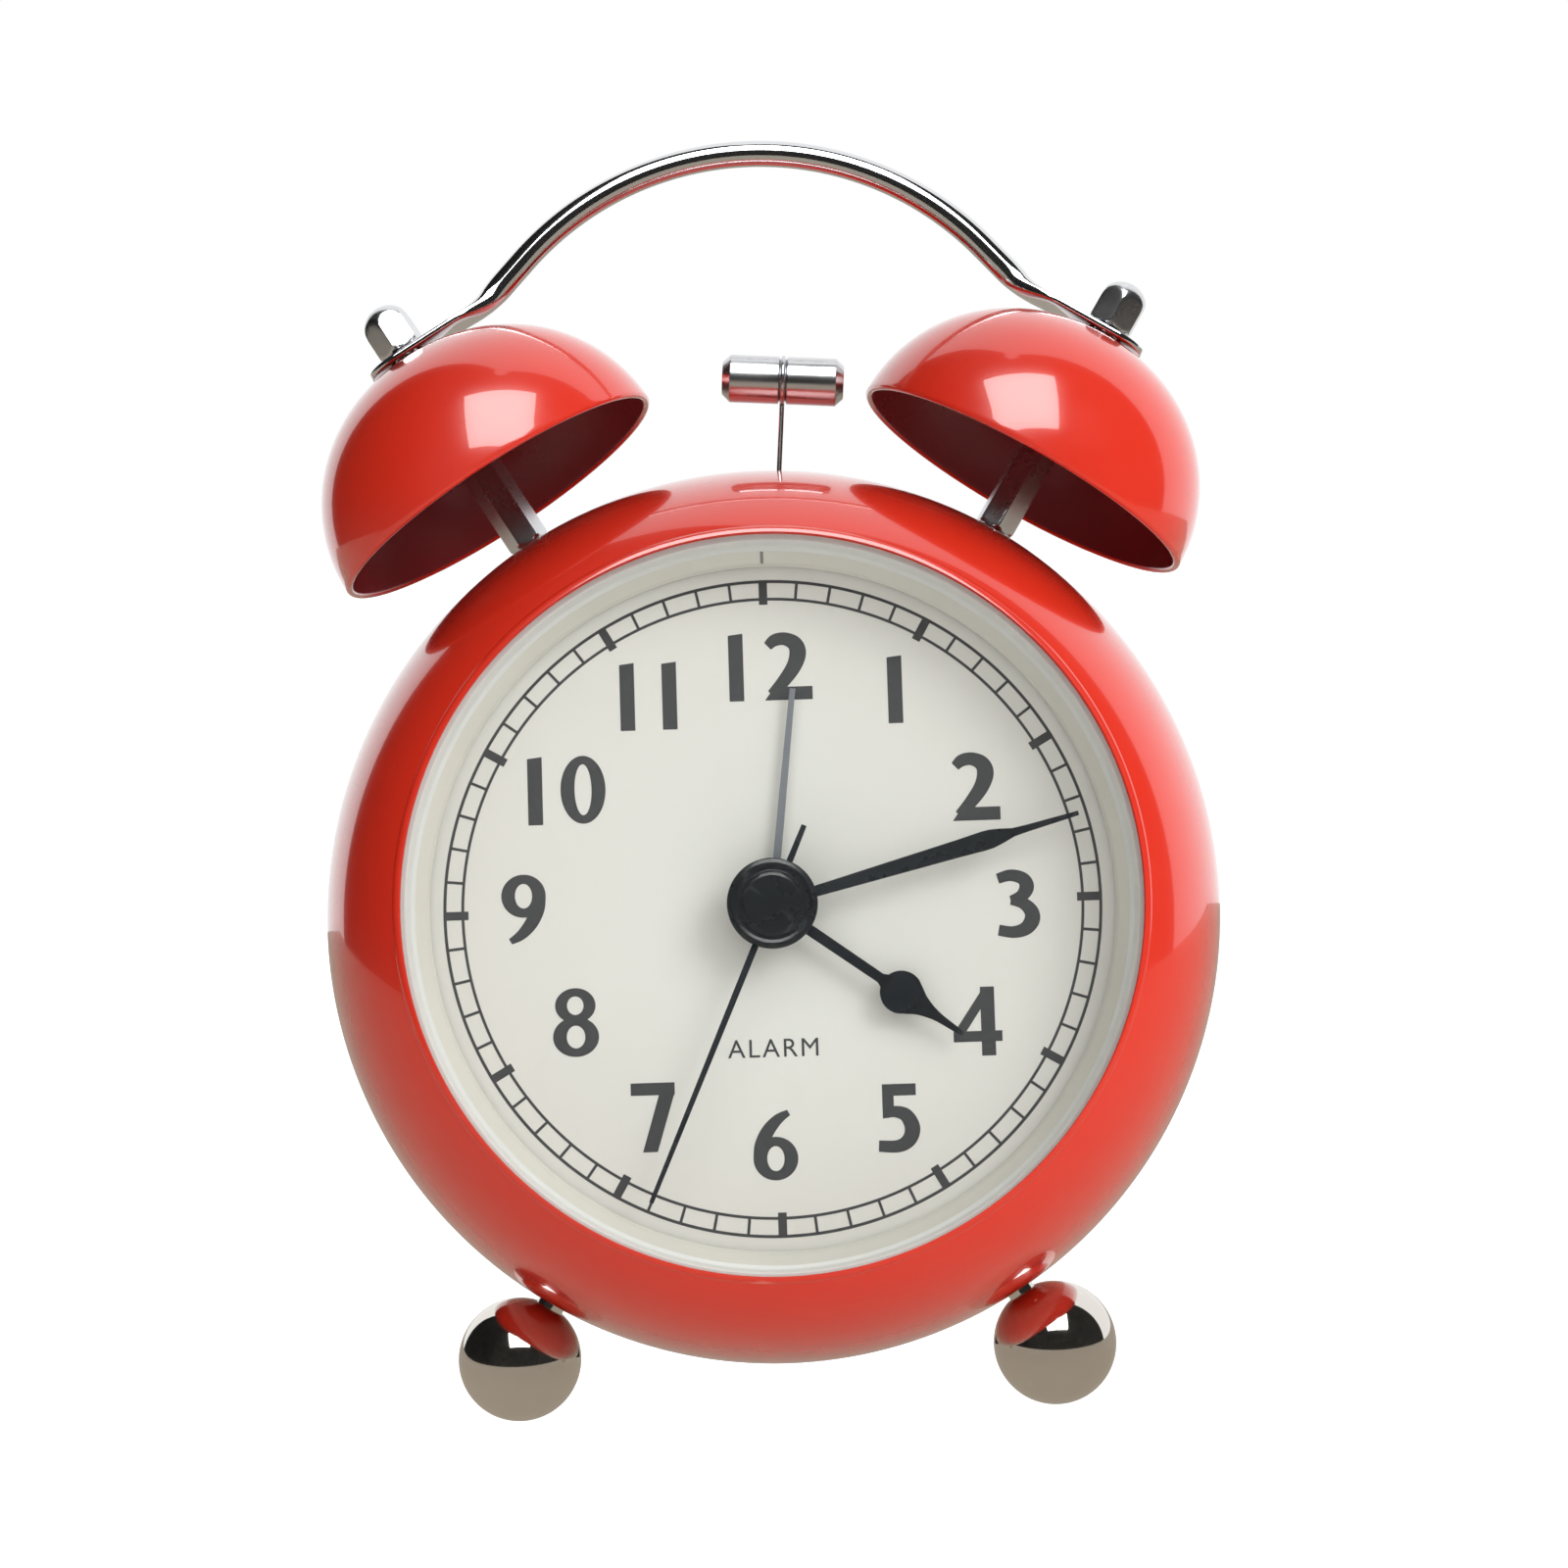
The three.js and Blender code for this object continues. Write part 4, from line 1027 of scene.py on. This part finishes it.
def cut_from(solid, cutters):
    """Takes the cutters, each an outline with its front and back, out of the solid."""
    whole = loose(solid, "cover_blank")
    tools = []
    for outline, front, back in cutters:
        cutter = Solid()
        cutter.capped([cutter.points([(x, y, z) for x, z in outline]) for y in (front, back)])
        tools.append(loose(cutter, f"cutter_{len(tools)}"))
        change = whole.modifiers.new("opening", "BOOLEAN")
        change.operation = "DIFFERENCE"
        change.solver = "EXACT"
        change.object = tools[-1]
    data = evaluated_mesh(whole)
    for tool in tools:
        bpy.data.objects.remove(tool)
    solid.mesh = bmesh.new()
    solid.mesh.from_mesh(data)
    bpy.data.meshes.remove(data)
    for face in solid.mesh.faces:
        face.material_index = 0


def rounded_box(x, z, half_width, half_height, corner, steps=6):
    corners = ((-1, -1), (1, -1), (1, 1), (-1, 1))
    return rounded([(x + a * half_width, z + b * half_height, corner) for a, b in corners], steps)


def stand_height(y):
    """Height of the surface that the clock stands on, at depth y."""
    foot_low = cos(POST_ANGLE) * (SHELL["core"] + SHELL["bulge"] + FOOT["radius"] + GAP)
    below = FOOT["y"] * sin(lean) + foot_low * cos(lean) + FOOT["radius"]
    return (y * sin(lean) - below) / cos(lean)


def screw_places():
    angles = [radians(angle) for angle in (90, 200, 340)]
    return [(SCREW_CIRCLE * cos(angle), SCREW_CIRCLE * sin(angle)) for angle in angles]


def make_rear_cover():
    face, front = COVER["back"], COVER["front"]
    cover = Solid("plastic")
    edge, groove = COVER["radius"], face - 0.25
    corners = [(0, front, 0), (edge, front, 0.3), (edge, face, 0.45), (41.6, face, 0.1), (41.3, groove, 0.1),
               (40.9, groove, 0.1), (40.6, face, 0.1), (40.3, face, 0)]
    rim = rounded(corners, 4, closed=False)
    rim += [(radius, face) for radius in (38, 34, 30, 26, 22, 18, 14, 10, 6, 2, 0)]
    cover.lathe(rim, 192, placed=along_y())
    opening = bay_outline(BAY["ledge"], BAY["door_radius"])
    cutters = [(opening, front - 2, face + 2)]
    for x in KNOBS.values():
        cutters.append((circle(x, 0, 6.5, 96), face - 0.4, face + 2))
        cutters.append((circle(x, 0, 1.9, 64), front - 2, face + 3))
    for x, z in screw_places():
        cutters.append((circle(x, z, 1.5, 64), front - 2, face + 3))
        cutters.append((circle(x, z, 3.0, 64), face - 0.25, face + 2))
    cutters.append((rounded_box(0, SWITCH_Z, 7.6, 3.5, 1.2), face - 0.3, face + 2))
    cutters.append((rounded_box(0, SWITCH_Z, 6.0, 2.0, 0.5), front - 3, face + 3))
    cut_from(cover, cutters)

    ledge = face - 2.0
    inner = bay_outline(-BAY["wall"], BAY["radius"] - BAY["wall"])
    outer = bay_outline(0, BAY["radius"])
    floor = BAY["front"] + BAY["wall"]
    steps = ((opening, ledge), (inner, ledge), (inner, floor))
    inside = [cover.points([(x, y, z) for x, z in shape]) for shape, y in steps]
    cover.skin(inside)
    cover.face(inside[-1])
    outside = [cover.points([(x, y, z) for x, z in outer]) for y in (front, BAY["front"])]
    cover.skin(outside)
    cover.face(outside[1])
    for k in range(5):
        rib = rounded_box(-20 + 10 * k, -24.5, 0.5, 7.6, 0.3, 3)
        cover.slab(rib, floor - 0.1, floor + 0.7, 0.15)

    low, lower = stand_height(43.5), stand_height(40.3)
    heel = rounded([(40.3, -36, 0), (43.5, -36, 1.2), (43.5, low, 0.5), (40.3, lower, 0.2)], 5)
    cover.slab(heel, -9, 9, 0.4, ACROSS)
    for x in KNOBS.values():
        turning_arrow(cover, x)
    cover.build("moulded_rear_cover", "frame", ["rear_cover"], 35, weigh=True)


def turning_arrow(cover, x):
    """A raised curved arrow under a knob."""
    face, reach = COVER["back"], 8.6
    angles = [radians(-38 + 76 * k / 12) for k in range(13)]
    points = [(x + reach * sin(angle), -reach * cos(angle), 0.55) for angle in angles]
    left, right = stroke(points)
    cover.slab(left + right[::-1], face - 0.1, face + 0.2, 0.06)
    before, tip = points[-2:]
    along = Vector((tip[0] - before[0], tip[1] - before[1])).normalized()
    side = Vector((-along.y, along.x))
    base = Vector(tip[:2]) - along * 0.3
    corners = [base + side * 1.05, base - side * 1.05, base + along * 2.0]
    cover.slab([tuple(corner) for corner in corners], face - 0.1, face + 0.2, 0.06)


def make_knob(body, x):
    """A fluted knob with a dished end and a raised mark."""
    ribs = 24
    knob = Solid("plastic")
    stations = [(41.8, 4.9, 0.0), (41.95, 5.15, 0.4), (42.3, 5.45, 1.0), (45.9, 5.45, 1.0), (46.5, 5.2, 0.7),
                (46.85, 4.8, 0.25), (47.0, 4.3, 0.0), (46.9, 3.9, 0.0), (46.55, 3.7, 0.0), (46.45, 3.2, 0.0)]
    rings = []
    for y, radius, depth in stations:
        row = []
        for angle in turns(12 * ribs):
            flute = 0.42 * depth * (0.5 + 0.5 * cos(ribs * angle)) ** 2
            row.append(((radius - flute) * cos(angle), (radius - flute) * sin(angle), y))
        rings.append(knob.points(row, along_y(x)))
    knob.capped(rings)
    knob.slab(rounded_box(x, 1.7, 0.35, 1.5, 0.3, 4), 46.4, 46.8, 0.08)
    knob.build(f"{body}_fluted_knob", body, [f"{body}_knob"], 40)


def make_cover_screws():
    for number, (x, z) in enumerate(screw_places(), 1):
        screw = Solid("steel")
        profile = [(0, 33.0), (0.7, 33.0), (1.1, 33.6), (1.1, 41.5), (2.3, 41.5), (2.4, 41.6), (2.4, 41.85),
                   (2.28, 42.1), (2.05, 42.32), (1.75, 42.48)]
        rings = screw.lathe(profile, 48, placed=along_y(x, z))
        arm, half = 1.3, 0.27
        cross = [(arm, -half), (arm, half), (half, half), (half, arm), (-half, arm), (-half, half)]
        cross += [(-a, -b) for a, b in cross]
        top = screw.points([(x + a, 42.56, z + b) for a, b in cross])
        bottom = screw.points([(x + a * 0.8, 41.9, z + b * 0.8) for a, b in cross])
        screw.skin([top, bottom])
        screw.face(bottom)
        bridge(screw, rings[-1], top, lambda vertex: atan2(vertex.co.z - z, vertex.co.x - x))
        screw.build(f"cross_head_screw_{number}", "frame", [f"cover_screw_{number}"], 35, weigh=True)


def make_battery_door():
    front, back = 39.5, 41.0
    door = Solid("plastic")
    door.slab(bay_outline(BAY["ledge"] - GAP, BAY["door_radius"] - GAP), front, back, 0.18)
    for k in range(6):
        grip = rounded_box(0, -16.9 - 0.95 * k, 6.0 - 0.45 * k, 0.26, 0.2, 4)
        door.slab(grip, back - 0.1, back + 0.18, 0.07)
    door.slab([(-1.6, -23.6), (1.6, -23.6), (0, -25.6)], back - 0.1, back + 0.18, 0.06)
    door.build("battery_lid", "door", ["battery_door"], 35, weigh=True)


def make_switch():
    middle = -3.4
    switch = Solid("plastic")
    switch.slab(rounded_box(middle, SWITCH_Z, 3.5, 2.8, 0.5), 41.5, 42.3, 0.15)
    switch.slab(rounded_box(middle, SWITCH_Z, 2.0, 1.5, 0.35), 36.0, 43.5, 0.12)
    for k in range(4):
        switch.slab(rounded_box(middle - 1.5 + k, SWITCH_Z, 0.24, 1.4, 0.15, 3), 43.3, 44.0, 0.1)
    switch.build("ridged_switch", "switch", ["alarm_switch"], 35, weigh=True)


def make_battery():
    lying = Matrix.Translation((0, CELL["y"], CELL["z"])) @ Matrix.Rotation(radians(90), 4, "Y")
    radius, half = CELL["radius"], CELL["length"] / 2
    cell = Solid("sleeve", "steel", "brass")
    cell.lathe([(0, -half), (4.4, -half), (4.6, -half + 0.2), (5.6, -half + 0.2), (6.2, -half + 0.1)], 64,
               placed=lying, finish=1)
    end = [(6.2, -half + 0.1), (6.8, -half + 0.15), (radius, -half + 0.5), (radius, 9.0)]
    cell.lathe(end, 64, placed=lying)
    cell.lathe([(radius, 9.0), (radius, half - 0.7)], 64, placed=lying, finish=2)
    cell.lathe([(radius, half - 0.7), (6.75, half - 0.3), (6.2, half - 0.2)], 64, placed=lying)
    button = [(6.2, half - 0.2, 0), (2.7, half - 0.1, 0.2), (2.5, half + 1, 0.3), (0, half + 1, 0)]
    cell.lathe(rounded(button, 5, closed=False), 64, placed=lying, finish=1)
    cell.build("penlight_cell", "frame", ["battery"], 35)


def make_contacts():
    y, z = CELL["y"], CELL["z"]
    outline = rounded_box(y, z, 5.4, 5.0, 1.0)
    positive = Solid("steel")
    positive.slab(outline, -27.5, -27.0, 0.08, ACROSS)
    positive.build("contact_plate", "frame", ["contact_positive"], 35)

    spring = Solid("steel")
    spring.slab(outline, 27.0, 27.5, 0.08, ACROSS)
    windings = 2.6
    coil = []
    for k in range(90):
        share = k / 89
        angle = tau * windings * share
        radius = 4.1 - 1.5 * share
        coil.append((-26.85 + 1.8 * share, y + radius * sin(angle), z + radius * cos(angle)))
    sweep(spring, coil, 0.24, around=10)
    spring.build("contact_coil", "frame", ["contact_spring"], 50)


# ---------------------------------------------------------------- what stays as packed

KEPT = {
    "steel": ["post_nut_left", "post_nut_right", "foot_nut_left", "foot_nut_right", "rotor", "stator",
              "quartz_crystal", "alarm_motor", "motor_bracket", "hammer_pivot_pin", "hammer_lever"],
    "brass": ["centre_wheel", "cannon_pinion"],
    "acetal": ["movement_front_case", "intermediate_wheel", "second_wheel", "third_wheel", "motion_wheel",
               "hour_wheel", "alarm_wheel", "time_set_arbor", "alarm_set_arbor", "striker_cam"],
    "plastic": ["movement_rear_case"],
    "winding": ["coil"],
    "board": ["circuit_board", "switch_contacts"],
}


def dress_kept_nodes():
    """Gives each inner piece its finish and eases its edges."""
    for finish, names in KEPT.items():
        for name in names:
            node = frame["nodes"][name]
            node.data.materials.clear()
            node.data.materials.append(FINISHES[finish].material)
            bevel = node.modifiers.new("eased_edges", "BEVEL")
            bevel.width = 0.08 * MM
            bevel.segments = 2
            bevel.limit_method = "ANGLE"
            bevel.angle_limit = radians(40)


# ---------------------------------------------------------------- stage, light and camera

SEEN_BY = ("camera", "diffuse", "glossy", "transmission", "shadow", "volume_scatter")


def staged(name, shape, finish, seen_by):
    """Puts a studio piece in the scene, seen only by the kinds of light path that are named."""
    made = mesh_object(name, shape)
    made.data.materials.append(finish.material)
    for kind in SEEN_BY:
        setattr(made, f"visible_{kind}", kind in seen_by)


def sheet(rows):
    """Four-sided faces through rows of points."""
    shape = bmesh.new()
    made = [[shape.verts.new(point) for point in row] for row in rows]
    for near, far in zip(made, made[1:]):
        for k in range(len(near) - 1):
            shape.faces.new([near[k], near[k + 1], far[k + 1], far[k]])
    return shape


def flat_sheet(reach):
    return sheet([[(x, -reach + 2 * reach * k / 12, 0) for x in (-reach, reach)] for k in range(13)])


def make_stage():
    """A pale sheet under the clock, bright enough to wash out most of its shadow. It lights the clock as
    plain paper does, and in the clock's reflections the table under it is small and a warmer grey."""
    glow = Finish("lit_paper", (0.99, 0.99, 0.985), 0.9).mottle(3, 0.3, 0.985)
    glow.set(specular_ior_level=0.0, emission_color=(1, 1, 1, 1), emission_strength=0.42)
    staged("studio_floor", flat_sheet(6.0), glow, ("camera", "transmission"))
    paper = Finish("studio_paper", (0.93, 0.925, 0.915), 0.9).mottle(3, 0.3, 0.985)
    paper.grain(900, 0.05, 0.0001).set(specular_ior_level=0.0)
    staged("floor_bounce", flat_sheet(6.0), paper, ("diffuse", "shadow", "volume_scatter"))
    table = Finish("table_top", (0.44, 0.385, 0.315), 0.8).mottle(9, 0.5, 0.8)
    staged("table_reflection", flat_sheet(0.42), table, ("glossy",))

    world = bpy.data.worlds.new("studio_air")
    world.use_nodes = True
    background = world.node_tree.nodes["Background"]
    background.inputs["Color"].default_value = (1.0, 1.0, 1.0, 1)
    background.inputs["Strength"].default_value = 1.0
    bpy.context.scene.world = world


def curved_card(radius, from_azimuth, to_azimuth, from_elevation, to_elevation):
    """Part of a sphere round the clock; azimuth 0 is in front and grows to the right."""
    azimuths = [radians(from_azimuth + (to_azimuth - from_azimuth) * k / 24) for k in range(25)]
    elevations = [radians(from_elevation + (to_elevation - from_elevation) * i / 12) for i in range(13)]
    rows = []
    for e in elevations:
        level, height = radius * cos(e), radius * sin(e)
        rows.append([(level * sin(a), -level * cos(a), height) for a in azimuths])
    return sheet(rows)


def make_dark_side():
    """Dark cards: one on the camera's side that only reflections show, so that the enamel and chrome have
    something dark to show, and one on the left that keeps light off that side."""
    shade = Finish("flag_cloth", (0.012, 0.011, 0.010), 0.9).mottle(4, 0.6, 2.2)
    staged("dark_side", curved_card(1.6, -132, 100, -30, 87), shade, ("glossy",))
    staged("left_card", curved_card(1.3, -150, -45, 2, 62), shade, ("diffuse", "shadow"))


def area_light(name, place, width, height, power, only):
    """A rectangular light aimed at the clock, for only its diffuse or only its glossy surfaces."""
    data = bpy.data.lights.new(name, "AREA")
    data.shape = "RECTANGLE"
    data.size, data.size_y = width, height
    data.energy = power
    made = add_object(name, data)
    made.location = place
    aim = Vector((0, 0, 0.06)) - Vector(place)
    made.rotation_euler = aim.to_track_quat("-Z", "Y").to_euler()
    made.visible_camera = False
    made.visible_diffuse = only == "diffuse"
    made.visible_glossy = only == "glossy"


def make_lights():
    area_light("front_window", (0.05, -0.69, 1.02), 0.82, 0.86, 15.0, "glossy")
    area_light("soft_key", (0.75, -0.75, 0.75), 0.6, 0.6, 6.5, "diffuse")


SENSOR = 36
# Angles in degrees; the last two put the dial's centre off the frame's middle by these shares of the frame.
CAMERA = dict(distance=0.345, azimuth=0.35, elevation=-3.6, lens=81.0, roll=1.8, dial_left=0.0072,
              dial_below=0.0779)


def make_camera():
    """The camera looks at the dial from just off its axis, as CAMERA says."""
    data = bpy.data.cameras.new("camera")
    data.lens = CAMERA["lens"]
    data.sensor_width = SENSOR
    camera = add_object("camera", data)
    a, e = radians(CAMERA["azimuth"]), radians(CAMERA["elevation"])
    away = Vector((sin(a) * cos(e), -cos(a) * cos(e), sin(e)))
    place = UPRIGHT @ (away * CAMERA["distance"] * 1000)
    camera.location = place
    ahead = (dial_centre - place).normalized()
    right = ahead.cross(UPRIGHT.to_3x3() @ Vector((0, 0, 1))).normalized()
    up = right.cross(ahead)
    roll = Matrix.Rotation(radians(CAMERA["roll"]), 3, ahead)
    right, up = roll @ right, roll @ up
    # Turn the view so that the dial's centre falls left of and below the middle of the frame.
    x = -CAMERA["dial_left"] * SENSOR / CAMERA["lens"]
    y = -CAMERA["dial_below"] * SENSOR / CAMERA["lens"]
    seen = Vector((x, y, -1)).normalized()
    basis = Matrix((right, up, -ahead)).transposed()
    turn = seen.rotation_difference(Vector((0, 0, -1))).to_matrix()
    camera.rotation_mode = "QUATERNION"
    camera.rotation_quaternion = (basis @ turn).to_quaternion()
    data.clip_start, data.clip_end = 0.01, 20
    bpy.context.scene.camera = camera


def main():
    make_camera()
    make_stage()
    make_dark_side()
    make_lights()
    make_case()
    make_front()
    make_hands()
    for side in TILTS:
        make_bell(side)
        make_post(side)
        make_dome_nut(side)
        make_foot(side)
    make_handle()
    make_hammer()
    make_rear_cover()
    for body, x in KNOBS.items():
        make_knob(body, x)
    make_cover_screws()
    make_battery_door()
    make_switch()
    make_battery()
    make_contacts()
    dress_kept_nodes()
    bpy.context.scene.view_settings.view_transform = "Standard"


main()
